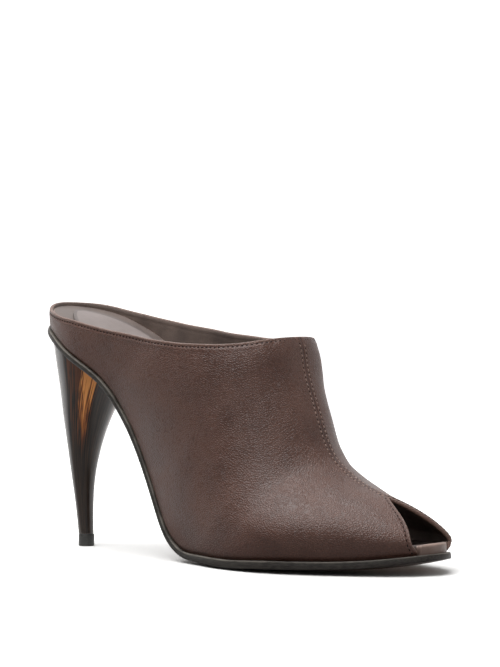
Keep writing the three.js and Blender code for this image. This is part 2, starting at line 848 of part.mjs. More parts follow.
// Closes the top of the heel with rings that follow the sole's underside.
function capUnderSole(body, rim) {
  const count = rim.length;
  const middle = vec(0, 0, 0);
  rim.forEach((id) => middle.add(body.points[id]));
  middle.multiplyScalar(1 / count);
  let outer = rim;
  for (const share of [0.75, 0.5, 0.25]) {
    const ring = rim.map((id) => {
      const point = middle.clone().lerp(body.points[id], share);
      point.z = soleUnder(point.x, point.y);
      return body.add(point);
    });
    for (let j = 0; j < count; j += 1) {
      const after = (j + 1) % count;
      body.quad(outer[j], outer[after], ring[after], ring[j]);
    }
    outer = ring;
  }
  middle.z = soleUnder(middle.x, middle.y);
  const top = body.add(middle);
  for (let j = 0; j < count; j += 1) {
    body.face(outer[j], outer[(j + 1) % count], top);
  }
}

function makeHeelTip() {
  const around = 40;
  const body = new Shell();
  const bevel = 0.06 * TIP_RADIUS;
  const levels = [
    [0, TIP_RADIUS - bevel],
    [bevel, TIP_RADIUS],
    [TIP_HEIGHT - bevel, TIP_RADIUS],
    [TIP_HEIGHT, TIP_RADIUS - bevel],
  ];
  const rings = levels.map(([z, radius]) => {
    const ring = [];
    for (let j = 0; j < around; j += 1) {
      const angle = (2 * Math.PI * j) / around;
      ring.push(body.add(vec(radius * Math.cos(angle), radius * Math.sin(angle), z)));
    }
    return ring;
  });
  const foot = body.add(vec(0, 0, 0));
  const top = body.add(vec(0, 0, TIP_HEIGHT));
  for (let j = 0; j < around; j += 1) {
    const after = (j + 1) % around;
    for (let k = 0; k + 1 < rings.length; k += 1) {
      body.quad(rings[k][j], rings[k][after], rings[k + 1][after], rings[k + 1][j]);
    }
    body.face(foot, rings[0][after], rings[0][j]);
    body.face(top, rings[rings.length - 1][j], rings[rings.length - 1][after]);
  }
  return body.mesh("heel_tip", { color: 0x1c1b1a, roughness: 0.5, metalness: 0 });
}

const mule = new THREE.Group();
mule.name = "mule_shoe";
mule.add(makeUpper());
mule.add(makeOutsole());
mule.add(makeInsole());
mule.add(makeSockPad());
mule.add(makeHeel());
mule.add(makeHeelTip());
export default mule;
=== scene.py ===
import logging
import math
from dataclasses import dataclass, field
from enum import Enum
from typing import Any, Callable, Optional, Sequence, TypeVar

import bpy
import numpy as np
from mathutils import Matrix, Vector


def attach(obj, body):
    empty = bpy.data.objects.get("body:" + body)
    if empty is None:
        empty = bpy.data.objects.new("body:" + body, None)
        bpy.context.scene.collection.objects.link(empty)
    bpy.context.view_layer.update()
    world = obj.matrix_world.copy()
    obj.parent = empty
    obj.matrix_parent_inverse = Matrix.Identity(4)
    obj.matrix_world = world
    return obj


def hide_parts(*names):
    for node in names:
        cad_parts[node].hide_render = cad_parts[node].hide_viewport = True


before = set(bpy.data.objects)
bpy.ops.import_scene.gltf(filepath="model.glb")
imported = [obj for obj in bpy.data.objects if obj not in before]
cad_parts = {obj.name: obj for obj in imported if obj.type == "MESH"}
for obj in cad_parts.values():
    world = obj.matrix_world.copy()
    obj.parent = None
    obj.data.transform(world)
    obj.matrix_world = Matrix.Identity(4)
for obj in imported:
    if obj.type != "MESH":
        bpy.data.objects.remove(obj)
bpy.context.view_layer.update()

"""Looks of a brown high-heeled mule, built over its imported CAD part.

All shapes are worked out in millimetres with the shoe's own sizes and turned into metres when a
mesh is made. +X runs to the toe, +Y to the inner side of the foot and +Z up.
"""

LOG = logging.getLogger("mule")
MM = 0.001
Array = np.ndarray
Point = tuple[float, float, float]
Colour = tuple[float, float, float, float]
Curve = TypeVar("Curve")
Material = bpy.types.Material
Node = bpy.types.Node
Piece = bpy.types.Object
Socket = bpy.types.NodeSocket
Tree = bpy.types.NodeTree


# Sizes


@dataclass(frozen=True)
class Sizes:
    """Named sizes of the shoe in millimetres, and its shares of the plan length."""

    length: float = 213.0
    back_x: float = -14.0
    ball_width: float = 73.0
    heel_height: float = 98.5
    instep_height: float = 98.0
    toe_swing: float = 10.0
    seat_radius: float = 23.0
    toe_radius: float = 12.0
    ball_top: float = 4.4
    crown: float = 1.6
    swing_from: float = 0.5
    swing_power: float = 1.6
    lean_power: float = 1.5
    waist_twist: float = 3.0
    pad_thickness: float = 9.2
    wall: float = 2.0
    gap: float = 0.45
    seat_thickness: float = 2.5
    ball_thickness: float = 3.6
    toe_thickness: float = 2.8
    seat_welt: float = 0.6
    ball_welt: float = 0.9
    toe_inset: float = 0.8
    throat_at: float = 0.332
    apex_at: float = 0.8465
    outer_corner_at: float = 0.981
    inner_corner_at: float = 0.968
    corner_share: float = 0.06
    outer_slant: float = 0.4
    inner_slant: float = 0.32
    vee_power: float = 4.6
    sock_border: float = 5.0
    sock_front_at: float = 0.44
    tip_height: float = 5.4
    tip_radius: float = 3.6


SECTION_COLUMNS = (
    "at", "rise", "twist", "outer", "inner", "crest_x", "crest_z", "full",
    "outer_bulge", "inner_bulge", "outer_round", "inner_round",
)
SECTION_ROWS = (
    (0.0, 1.0, 0.0, 0, 0, -0.009, 1.582, 0.15, 0.03, 0.03, 2.1, 2.1),
    (0.065, 0.943, 0.167, 0.285, 0.285, 0.103, 1.633, 0.155, 0.04, 0.04, 2.1, 2.1),
    (0.122, 0.874, 0.4, 0.337, 0.334, 0.234, 1.612, 0.17, 0.05, 0.055, 2.1, 2.1),
    (0.187, 0.7995, 0.667, 0.341, 0.318, 0.402, 1.49, 0.26, 0.085, 0.11, 2.1, 2.1),
    (0.243, 0.7107, 0.867, 0.329, 0.288, 0.523, 1.327, 0.37, 0.167, 0.26, 2.2, 2.2),
    (0.28, 0.6132, 1.0, 0.315, 0.26, 0.592, 1.204, 0.44, 0.31, 0.47, 2.35, 2.35),
    (0.332, 0.4305, 1.0, 0.308, 0.236, 0.669, 1.0, 0.51, 0.38, 0.69, 2.5, 2.3),
    (0.374, 0.2386, 0.933, 0.31, 0.226, 0.682, 0.892, 0.52, 0.39, 0.689, 2.3, 2.42),
    (0.41, 0.098, 0.74, 0.328, 0.231, 0.6925, 0.8036, 0.504, 0.34, 0.652, 2.16, 2.21),
    (0.444, 0.0285, 0.5, 0.342, 0.253, 0.707, 0.716, 0.48, 0.32, 0.576, 2.05, 2.037),
    (0.514, 0.002, 0.1, 0.397, 0.349, 0.7337, 0.5575, 0.44, 0.21, 0.345, 1.85, 1.675),
    (0.6075, 0.0, 0.0, 0.475, 0.471, 0.765, 0.456, 0.35, 0.09, 0.0906, 1.8, 1.647),
    (0.705, 0.008, 0.0, 0.5, 0.514, 0.8038, 0.3928, 0.315, 0.065, 0.0545, 1.85, 1.604),
    (0.822, 0.0142, 0.0, 0.416, 0.452, 0.8639, 0.3347, 0.33, 0.06, 0.048, 1.9, 1.4225),
    (0.907, 0.0239, 0.0, 0.301, 0.347, 0.9308, 0.2679, 0.38, 0.05, 0.0436, 1.95, 1.489),
    (0.953, 0.0355, 0.0, 0.218, 0.249, 0.9737, 0.2027, 0.42, 0.05, 0.0272, 2.0, 1.4576),
    (1.0, 0.0497, 0.0, 0, 0, 1.0, 0.136, 0.5, 0.04, 0.04, 2.0, 2.0),
)
RIM_COLUMNS = ("at", "outer", "inner")
RIM_ROWS = (
    (0.0, 0.169, 0.169),
    (0.033, 0.145, 0.176),
    (0.065, 0.152, 0.178),
    (0.122, 0.203, 0.208),
    (0.187, 0.275, 0.277),
    (0.243, 0.41, 0.411),
    (0.28, 0.572, 0.573),
    (0.3, 0.703, 0.705),
    (0.318, 0.85, 0.84),
    (0.332, 1.0, 1.0),
)
STACK_COLUMNS = ("at", "pad", "ball", "toe")
STACK_ROWS = (
    (0.0, 0.826, 0, 0),
    (0.15, 1, 0, 0),
    (0.4, 0.935, 0, 0),
    (0.52, 0.652, 0.6, 0),
    (0.62, 0.522, 1, 0),
    (0.85, 0.5, 1, 0.2),
    (1.0, 0.489, 1, 1),
)
HEEL_COLUMNS = ("up", "back", "front", "half")
HEEL_ROWS = (
    (0.0, 0.225, 0.016, 0.0455),
    (0.165, 0.362, 0.0141, 0.0548),
    (0.301, 0.511, 0.0174, 0.0733),
    (0.437, 0.634, 0.0314, 0.1044),
    (0.597, 0.738, 0.063, 0.157),
    (0.699, 0.757, 0.0932, 0.2034),
    (0.796, 0.792, 0.1298, 0.2506),
    (0.893, 0.832, 0.1559, 0.2934),
    (1.02, 0.87, 0.1732, 0.3226),
)


class Side(Enum):
    """The two sides of the foot, with the sign of Y on that side."""

    OUTER = -1
    INNER = 1


# Curves and the foot's shape


class SmoothCurve:
    """Natural cubic through a table's points."""

    def __init__(self, xs: Sequence[float], ys: Sequence[float]) -> None:
        """Solves the curve once.

        Args:
            xs: rising positions.
            ys: values at those positions.
        """
        self.xs = np.asarray(xs, float)
        self.ys = np.asarray(ys, float)
        count = len(self.xs)
        step = np.diff(self.xs)
        system = np.eye(count)
        right = np.zeros(count)
        for i in range(1, count - 1):
            system[i, i - 1] = step[i - 1]
            system[i, i] = 2 * (step[i - 1] + step[i])
            system[i, i + 1] = step[i]
            slope = np.diff(self.ys)[i] / step[i] - np.diff(self.ys)[i - 1] / step[i - 1]
            right[i] = 6 * slope
        self.bend = np.linalg.solve(system, right)

    def __call__(self, x: Array | float) -> Array:
        """Evaluates the curve.

        Args:
            x: positions.

        Returns:
            The values there.
        """
        x = np.asarray(x, float)
        k = np.clip(np.searchsorted(self.xs, x) - 1, 0, len(self.xs) - 2)
        h = self.xs[k + 1] - self.xs[k]
        a = (self.xs[k + 1] - x) / h
        b = (x - self.xs[k]) / h
        bend = (a**3 - a) * self.bend[k] + (b**3 - b) * self.bend[k + 1]
        return a * self.ys[k] + b * self.ys[k + 1] + bend * h * h / 6


class SteadyCurve:
    """Curve that never overshoots its points."""

    def __init__(self, xs: Sequence[float], ys: Sequence[float]) -> None:
        """Works out the slope at each point.

        Args:
            xs: rising positions.
            ys: values at those positions.
        """
        self.xs = np.asarray(xs, float)
        self.ys = np.asarray(ys, float)
        chord = np.diff(self.ys) / np.diff(self.xs)
        before, after = chord[:-1], chord[1:]
        same = before * after > 0
        inner = np.where(same, 2 * before * after / np.where(same, before + after, 1), 0)
        self.slope = np.concatenate([chord[:1], inner, chord[-1:]])

    def __call__(self, x: Array | float) -> Array:
        """Evaluates the curve.

        Args:
            x: positions, held inside the table.

        Returns:
            The values there.
        """
        x = np.clip(np.asarray(x, float), self.xs[0], self.xs[-1])
        k = np.clip(np.searchsorted(self.xs, x) - 1, 0, len(self.xs) - 2)
        h = self.xs[k + 1] - self.xs[k]
        s = (x - self.xs[k]) / h
        start = (2 * s**3 - 3 * s**2 + 1) * self.ys[k] + (s**3 - 2 * s**2 + s) * h * self.slope[k]
        end = (3 * s**2 - 2 * s**3) * self.ys[k + 1] + (s**3 - s**2) * h * self.slope[k + 1]
        return start + end


def column(rows: Sequence[Sequence[float]], names: Sequence[str], name: str) -> list[float]:
    """Picks one named column out of a table.

    Args:
        rows: the table.
        names: its column names.
        name: the wanted column.

    Returns:
        The column's values.
    """
    index = names.index(name)
    return [row[index] for row in rows]


def table_curve(kind: Callable[[Sequence[float], Sequence[float]], Curve], rows: Sequence[Sequence[float]],
                names: Sequence[str], name: str) -> Curve:
    """Runs a curve through one named column of a table, over the table's first column.

    Args:
        kind: class of the curve.
        rows: the table.
        names: its column names.
        name: the wanted column.

    Returns:
        The curve.
    """
    return kind(column(rows, names, names[0]), column(rows, names, name))


def unit(vectors: Array) -> Array:
    """Scales vectors to length one.

    Args:
        vectors: array whose last axis is X, Y, Z.

    Returns:
        The scaled vectors.
    """
    return vectors / np.maximum(np.linalg.norm(vectors, axis=-1, keepdims=True), 1e-12)


def stack(x: Array, y: Array, z: Array) -> Array:
    """Joins coordinates into points.

    Args:
        x: X values.
        y: Y values.
        z: Z values.

    Returns:
        Array of points.
    """
    return np.stack(np.broadcast_arrays(x, y, z), axis=-1).astype(float)


# Points that a section is measured with, and how much longer than its two close-set ends it has to
# be before they keep their full spacing.
SECTION_STEPS = 260
END_ROOM = 2.6


class FootShape:
    """The last's shape: sole surface, feather line and cross-sections."""

    def __init__(self, sizes: Sizes) -> None:
        """Turns the tables into curves.

        Args:
            sizes: the shoe's named sizes.
        """
        self.s = sizes
        sections, stacks = (SECTION_ROWS, SECTION_COLUMNS), (STACK_ROWS, STACK_COLUMNS)
        self.rise, self.crest_x, self.crest_z = (
            table_curve(SmoothCurve, *sections, name) for name in ("rise", "crest_x", "crest_z")
        )
        self.twist, self.full = (table_curve(SteadyCurve, *sections, name) for name in ("twist", "full"))
        self.pad, self.ball_step, self.toe_step = (
            table_curve(SteadyCurve, *stacks, name) for name in ("pad", "ball", "toe")
        )
        self.round: dict[Side, SteadyCurve] = {}
        self.bulge: dict[Side, SteadyCurve] = {}
        self.rim: dict[Side, SteadyCurve] = {}
        self._half: dict[Side, SmoothCurve] = {}
        for side in Side:
            name = side.name.lower()
            self.round[side] = table_curve(SteadyCurve, *sections, f"{name}_round")
            self.bulge[side] = table_curve(SteadyCurve, *sections, f"{name}_bulge")
            self.rim[side] = table_curve(SteadyCurve, RIM_ROWS, RIM_COLUMNS, name)
            self._half[side] = self._round_ended(name)

    def _round_ended(self, name: str) -> SmoothCurve:
        """Returns the fullness of a half-width that closes round at both ends.

        Args:
            name: column name.
        """
        at = np.array(column(SECTION_ROWS, SECTION_COLUMNS, "at"))
        shares = np.array(column(SECTION_ROWS, SECTION_COLUMNS, name), float)
        inside = np.sqrt(np.maximum(at * (1 - at), 1e-9))
        full = shares * self.s.ball_width / inside
        full[0] = math.sqrt(2 * self.s.seat_radius * self.s.length)
        full[-1] = math.sqrt(2 * self.s.toe_radius * self.s.length)
        return SmoothCurve(at, full)

    def half(self, side: Side, at: Array | float) -> Array:
        """Half-width of the feather line.

        Args:
            side: side of the foot.
            at: shares of the length.

        Returns:
            Half-widths in mm.
        """
        inside = np.clip(at, 0, 1)
        return np.sqrt(inside * (1 - inside)) * self._half[side](inside)

    def plain_x(self, at: Array | float) -> Array:
        """X of a share of the length.

        Args:
            at: shares of the length.

        Returns:
            X in mm.
        """
        return self.s.back_x + np.asarray(at, float) * self.s.length

    def middle_y(self, at: Array | float) -> Array:
        """Y of the middle line, which swings to the inner side at the toe.

        Args:
            at: shares of the length.

        Returns:
            Y in mm.
        """
        along = (np.asarray(at, float) - self.s.swing_from) / (1 - self.s.swing_from)
        return self.s.toe_swing * np.maximum(0, along) ** self.s.swing_power

    def edge_height(self, side: Side, at: Array | float) -> Array:
        """Height of the sole's top edge.

        Args:
            side: side of the foot.
            at: shares of the length.

        Returns:
            Z in mm.
        """
        lift = self.twist(at) * self.s.waist_twist if side is Side.INNER else 0.0
        return self.s.ball_top + self.rise(at) * self.s.heel_height + lift

    def outsole_thickness(self, at: Array | float) -> Array:
        """Thickness of the outsole.

        Args:
            at: shares of the length.

        Returns:
            Thickness in mm.
        """
        ball = self.s.seat_thickness + (self.s.ball_thickness - self.s.seat_thickness) * self.ball_step(at)
        return ball + (self.s.toe_thickness - ball) * self.toe_step(at)

    def insole_thickness(self, at: Array | float) -> Array:
        """Thickness of the insole.

        Args:
            at: shares of the length.

        Returns:
            Thickness in mm.
        """
        return self.pad(at) * self.s.pad_thickness

    def crown_drop(self, at: Array | float) -> Array:
        """Drop of the sole's middle below its edges.

        Args:
            at: shares of the length.

        Returns:
            Drop in mm.
        """
        inside = np.clip(at, 0, 1)
        return self.s.crown * (1 - (1 - 4 * inside * (1 - inside)) ** 3)

    def sole_top(self, x: Array | float, y: Array | float) -> Array:
        """Height of the sole's top over plan positions.

        Args:
            x: X in mm.
            y: Y in mm.

        Returns:
            Z in mm.
        """
        at = (np.asarray(x, float) - self.s.back_x) / self.s.length
        inside = np.clip(at, 0.0005, 0.9995)
        offset = np.asarray(y, float) - self.middle_y(inside)
        half = np.where(offset < 0, self.half(Side.OUTER, inside), self.half(Side.INNER, inside))
        across = np.clip(offset / half, -1, 1)
        outer, inner = self.edge_height(Side.OUTER, at), self.edge_height(Side.INNER, at)
        level = (outer + inner) / 2 + across * (inner - outer) / 2
        return level - self.crown_drop(at) * (1 - across * across)

    def sole_normal(self, x: Array | float, y: Array | float) -> Array:
        """Upward normal of the sole's top.

        Args:
            x: X in mm.
            y: Y in mm.

        Returns:
            Unit normals.
        """
        step = 0.05
        along_x = (self.sole_top(x + step, y) - self.sole_top(x - step, y)) / (2 * step)
        along_y = (self.sole_top(x, y + step) - self.sole_top(x, y - step)) / (2 * step)
        return unit(stack(-along_x, -along_y, np.ones_like(along_x)))

    def clear_of_sole(self, x: Array, y: Array, distance: float) -> Array:
        """Height that leaves a distance square to the sole.

        Args:
            x: X in mm.
            y: Y in mm.
            distance: clearance in mm.

        Returns:
            Z in mm.
        """
        return self.sole_top(x, y) + distance / self.sole_normal(x, y)[..., 2]

    def feather(self, side: Side, at: Array, outward: Array | float) -> Array:
        """Feather line moved outward in plan.

        Args:
            side: side of the foot.
            at: shares of the length.
            outward: distance in mm.

        Returns:
            Points with Z zero.
        """
        step = 0.0004
        at = np.asarray(at, float)
        low, high = np.clip(at - step, 0, 1), np.clip(at + step, 0, 1)
        sign = side.value
        along_x = self.plain_x(high) - self.plain_x(low)
        along_y = self.middle_y(high) - self.middle_y(low)
        along_y = along_y + sign * (self.half(side, high) - self.half(side, low))
        along_x = np.where((at < 1e-5) | (at > 1 - 1e-5), 0, along_x)
        along_y = np.where(at < 1e-5, sign, np.where(at > 1 - 1e-5, -sign, along_y))
        size = np.hypot(along_x, along_y)
        along_x, along_y = along_x / size, along_y / size
        x = self.plain_x(at) - sign * along_y * outward
        y = self.middle_y(at) + sign * (self.half(side, at) + along_x * outward)
        return stack(x, y, np.zeros_like(x))

    def section(self, side: Side, at: Array, share: Array) -> Array:
        """Points of the upper's cross-sections.

        Args:
            side: side of the foot.
            at: shares of the length.
            share: shares of the section's height, 0 at the sole and 1 at the crest.

        Returns:
            Points, broadcast over at and share.
        """
        at, share = np.broadcast_arrays(np.asarray(at, float), np.asarray(share, float))
        base_x, base_z = self.plain_x(at), self.edge_height(side, at)
        top_at = self.crest_x(at)
        top_x = self.s.back_x + top_at * self.s.length
        top_z = self.crest_z(at) * self.s.instep_height
        top_y = self.middle_y(np.clip(top_at, 0, 1))
        foot = self.half(side, at)
        widest = foot * (1 + self.bulge[side](at))
        full = self.full(at)
        below = np.clip(1 - share / full, 0, 1)
        above = np.clip((share - full) / (1 - full), 0, 1)
        power = self.round[side](at)
        lower = widest + (foot - widest) * below * below
        upper = widest * np.maximum(1 - above**power, 0) ** (1 / power)
        half = np.where(share < full, lower, upper)
        lean = np.maximum(share, 0) ** self.s.lean_power
        centre = self.middle_y(at) + (top_y - self.middle_y(at)) * lean
        return stack(
            base_x + (top_x - base_x) * share,
            centre + side.value * half,
            base_z + (top_z - base_z) * share,
        )

    def corner(self, side: Side) -> float:
        """Share of the length where the toe opening meets the sole.

        Args:
            side: side of the foot.
        """
        return self.s.outer_corner_at if side is Side.OUTER else self.s.inner_corner_at

    def open_share(self, side: Side, at: float) -> float:
        """How much of a section is left beside the toe opening.

        Args:
            side: side of the foot.
            at: share of the length.

        Returns:
            Share of the section's outline.
        """
        if at <= self.s.apex_at:
            return 1.0
        slant = self.s.outer_slant if side is Side.OUTER else self.s.inner_slant
        along = (at - self.s.apex_at) / (self.corner(side) - self.s.apex_at)
        return 1 - slant * along - (1 - slant - self.s.corner_share) * along**self.s.vee_power

    def section_column(self, side: Side, at: float, near_foot: Array, near_top: Array,
                       between: int) -> Array:
        """Points up one section, close together at both ends.

        Args:
            side: side of the foot.
            at: share of the length.
            near_foot: distances of the first rows from the sole, mm.
            near_top: distances of the last rows from the top, mm.
            between: rows in the stretch between.

        Returns:
            Points from the sole to the top.
        """
        top = float(self.rim[side](at)) if at < self.s.throat_at else 1.0
        steps = np.linspace(0, 1, SECTION_STEPS)
        shares = np.sin(steps * math.pi / 2) if top == 1.0 else steps * top
        fine = self.section(side, np.full(SECTION_STEPS, at), shares)
        lengths = np.concatenate([[0], np.cumsum(np.linalg.norm(np.diff(fine, axis=0), axis=1))])
        total = lengths[-1] * self.open_share(side, at)
        squeeze = min(1.0, total / (END_ROOM * (near_foot[-1] + near_top[0])))
        low, high = near_foot * squeeze, total - near_top * squeeze
        middle = np.linspace(low[-1], high[0], between + 2)[1:-1]
        targets = np.concatenate([low, middle, high])
        return np.stack([np.interp(targets, lengths, fine[:, k]) for k in range(3)], axis=1)


# Meshes


class Body:
    """Points, faces and per-point values of one piece, gathered in millimetres."""

    def __init__(self, values: Sequence[str] = ()) -> None:
        """Starts an empty body.

        Args:
            values: names of the per-point values that its finishes read.
        """
        self.values: dict[str, list[Array]] = {name: [] for name in values}
        self.points: list[Array] = []
        self.faces: list[Array] = []
        self.finishes: list[Array] = []
        self.count = 0

    def add_grid(self, grid: Array, finish: int = 0, flip: bool = False, loop: bool = False,
                 **values: Array | float) -> None:
        """Adds a sheet of points, rows by columns.

        Args:
            grid: array of rows x columns x 3.
            finish: index of the finish.
            flip: turns the faces over.
            loop: joins the last column to the first.
            values: per-point values of the sheet.
        """
        rows, columns = grid.shape[:2]
        ids = np.arange(rows * columns).reshape(rows, columns) + self.count
        if loop:
            ids = np.concatenate([ids, ids[:, :1]], axis=1)
        quads = np.stack([ids[:-1, :-1], ids[1:, :-1], ids[1:, 1:], ids[:-1, 1:]], axis=-1).reshape(-1, 4)
        self.faces.append(quads[:, ::-1] if flip else quads)
        self.finishes.append(np.full(len(quads), finish))
        self.points.append(grid.reshape(-1, 3))
        for name, parts in self.values.items():
            value = values.get(name, 99.0)
            parts.append(np.broadcast_to(value, (rows, columns)).reshape(-1).astype(float))
        self.count += rows * columns

    def make(self, name: str, finishes: Sequence[Material], node: str, sharp: float = 60.0,
             replaces: bool = True) -> Piece:
        """Makes the object, in metres, and gives it to the frame.

        Args:
            name: name of the piece.
            finishes: its materials, in the order of the finish indices.
            node: the CAD node whose place it takes.
            sharp: faces that meet at more than this angle keep a crisp edge, degrees.
            replaces: whether it stands for the CAD node.

        Returns:
            The new object.
        """
        points = np.concatenate(self.points) * MM
        faces = np.concatenate(self.faces)
        keys = np.round(points / 2e-6).astype(np.int64)
        _, first, back = np.unique(keys, axis=0, return_index=True, return_inverse=True)
        faces = back.reshape(-1)[faces]
        corners: list[list[int]] = []
        kept: list[int] = []
        for face, finish in zip(faces.tolist(), np.concatenate(self.finishes).tolist()):
            ring = [here for k, here in enumerate(face) if here != face[k - 1]]
            if len(ring) > 2 and len(set(ring)) == len(ring):
                corners.append(ring)
                kept.append(finish)
        mesh = bpy.data.meshes.new(name)
        mesh.from_pydata(points[first].tolist(), [], corners)
        mesh.polygons.foreach_set("material_index", kept)
        for value, parts in self.values.items():
            data = mesh.attributes.new(value, "FLOAT", "POINT")
            data.data.foreach_set("value", np.concatenate(parts)[first].astype(np.float32))
        for finish in finishes:
            mesh.materials.append(finish)
        mesh.shade_smooth()
        mesh.set_sharp_from_angle(angle=math.radians(sharp))
        piece = bpy.data.objects.new(name, mesh)
        bpy.context.scene.collection.objects.link(piece)
        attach(piece, "root")
        if replaces:
            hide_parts(node)
        LOG.info("%s: %d faces", name, len(corners))
        return piece


def sheet_normals(grid: Array) -> Array:
    """Normals of a sheet, averaged where its points meet.

    Args:
        grid: rows x columns x 3.

    Returns:
        Unit normals of the same shape.
    """
    points = grid.reshape(-1, 3)
    _, back = np.unique(np.round(points / 0.002).astype(np.int64), axis=0, return_inverse=True)
    back = back.reshape(grid.shape[:2])
    crossed = np.cross(grid[1:, 1:] - grid[:-1, :-1], grid[:-1, 1:] - grid[1:, :-1])
    total = np.zeros((back.max() + 1, 3))
    for corner in (back[:-1, :-1], back[1:, :-1], back[1:, 1:], back[:-1, 1:]):
        np.add.at(total, corner.reshape(-1), crossed.reshape(-1, 3))
    return unit(total)[back]


def distance_to_path(points: Array, path: Array) -> Array:
    """Shortest distance from each point to a line of points.

    Args:
        points: array whose last axis is X, Y, Z.
        path: the line's points in order.

    Returns:
        Distances in mm.
    """
    flat = points.reshape(-1, 3)
    start, along = path[:-1], np.diff(path, axis=0)
    size = np.maximum((along**2).sum(1), 1e-9)
    best = np.full(len(flat), 1e9)
    for a, d, s in zip(start, along, size):
        t = np.clip((flat - a) @ d / s, 0, 1)
        gap = flat - a - t[:, None] * d
        best = np.minimum(best, np.einsum("ij,ij->i", gap, gap))
    return np.sqrt(best).reshape(points.shape[:-1])


def bump_at(distance: Array, centre: float, width: float) -> Array:
    """Soft bump of height one.

    Args:
        distance: where it is read.
        centre: where it peaks.
        width: its half-width.

    Returns:
        Values from 0 to 1.
    """
    return np.exp(-(((distance - centre) / width) ** 2))


def relief(distance: Array, forms: Sequence[Point]) -> Array:
    """Adds up soft bumps and hollows.

    Args:
        distance: where they are read, mm.
        forms: centre, half-width and lift of each, mm.

    Returns:
        Lift in mm.
    """
    return sum(lift * bump_at(distance, centre, width) for centre, width, lift in forms)


def rim_rings(outer: Array, inner: Array, away: Array, reach: Array | float, count: int = 7) -> Array:
    """Rounded strip between the two faces of a wall.

    Args:
        outer: points of the outer edge.
        inner: points of the inner edge.
        away: unit directions out of the wall.
        reach: height of the rounding, mm.
        count: rings.

    Returns:
        Array of rings x points x 3.
    """
    turn = np.linspace(0, math.pi, count)
    reach = np.broadcast_to(reach, outer.shape[:1])
    rings = []
    for angle in turn:
        share = (1 - math.cos(angle)) / 2
        lift = (away * reach[:, None]) * math.sin(angle)
        rings.append(outer + (inner - outer) * share + lift)
    return np.stack(rings)


def edge_away(edge: Array, beside: Array, normals: Array) -> Array:
    """Directions out of a sheet at its edge, square to the edge.

    Args:
        edge: points of the edge, in order.
        beside: points a little inside the sheet.
        normals: the sheet's normals at the edge.

    Returns:
        Unit directions.
    """
    along = unit(np.gradient(edge, axis=0))
    away = unit(np.cross(along, normals))
    middle = len(edge) // 2
    if (away[middle] * (edge - beside)[middle]).sum() < 0:
        away = -away
    for step, stop in ((1, len(edge)), (-1, -1)):
        for i in range(middle + step, stop, step):
            if (away[i] * away[i - step]).sum() < 0:
                away[i] = -away[i]
    closed = np.linalg.norm(edge[0] - edge[-1]) < 0.5
    for _ in range(12 if closed else 2):
        if closed:
            # The two ends meet at the seam.
            away[0] = away[-1] = unit(away[1] + away[-2])
        away[1:-1] = unit(away[:-2] + 2 * away[1:-1] + away[2:])
    return away


# The upper


# Distances of the close-set rows from the sole and from the top, in mm.
NEAR_FOOT = np.array([0, 0.35, 0.8, 1.4, 2.2, 3.2, 4.5])
NEAR_TOP = np.array([3.7, 2.9, 2.3, 1.8, 1.35, 0.95, 0.6, 0.3, 0])
# Distance from an edge or from the seam, half-width and lift of the leather's forms there, in mm.
EDGE_FORMS = ((2.2, 0.7, 0.17), (1.15, 0.45, -0.14))
SEAM_FORMS = ((0.0, 0.32, -0.24), (0.75, 0.35, 0.09), (1.5, 0.35, -0.09), (2.3, 0.5, 0.06))


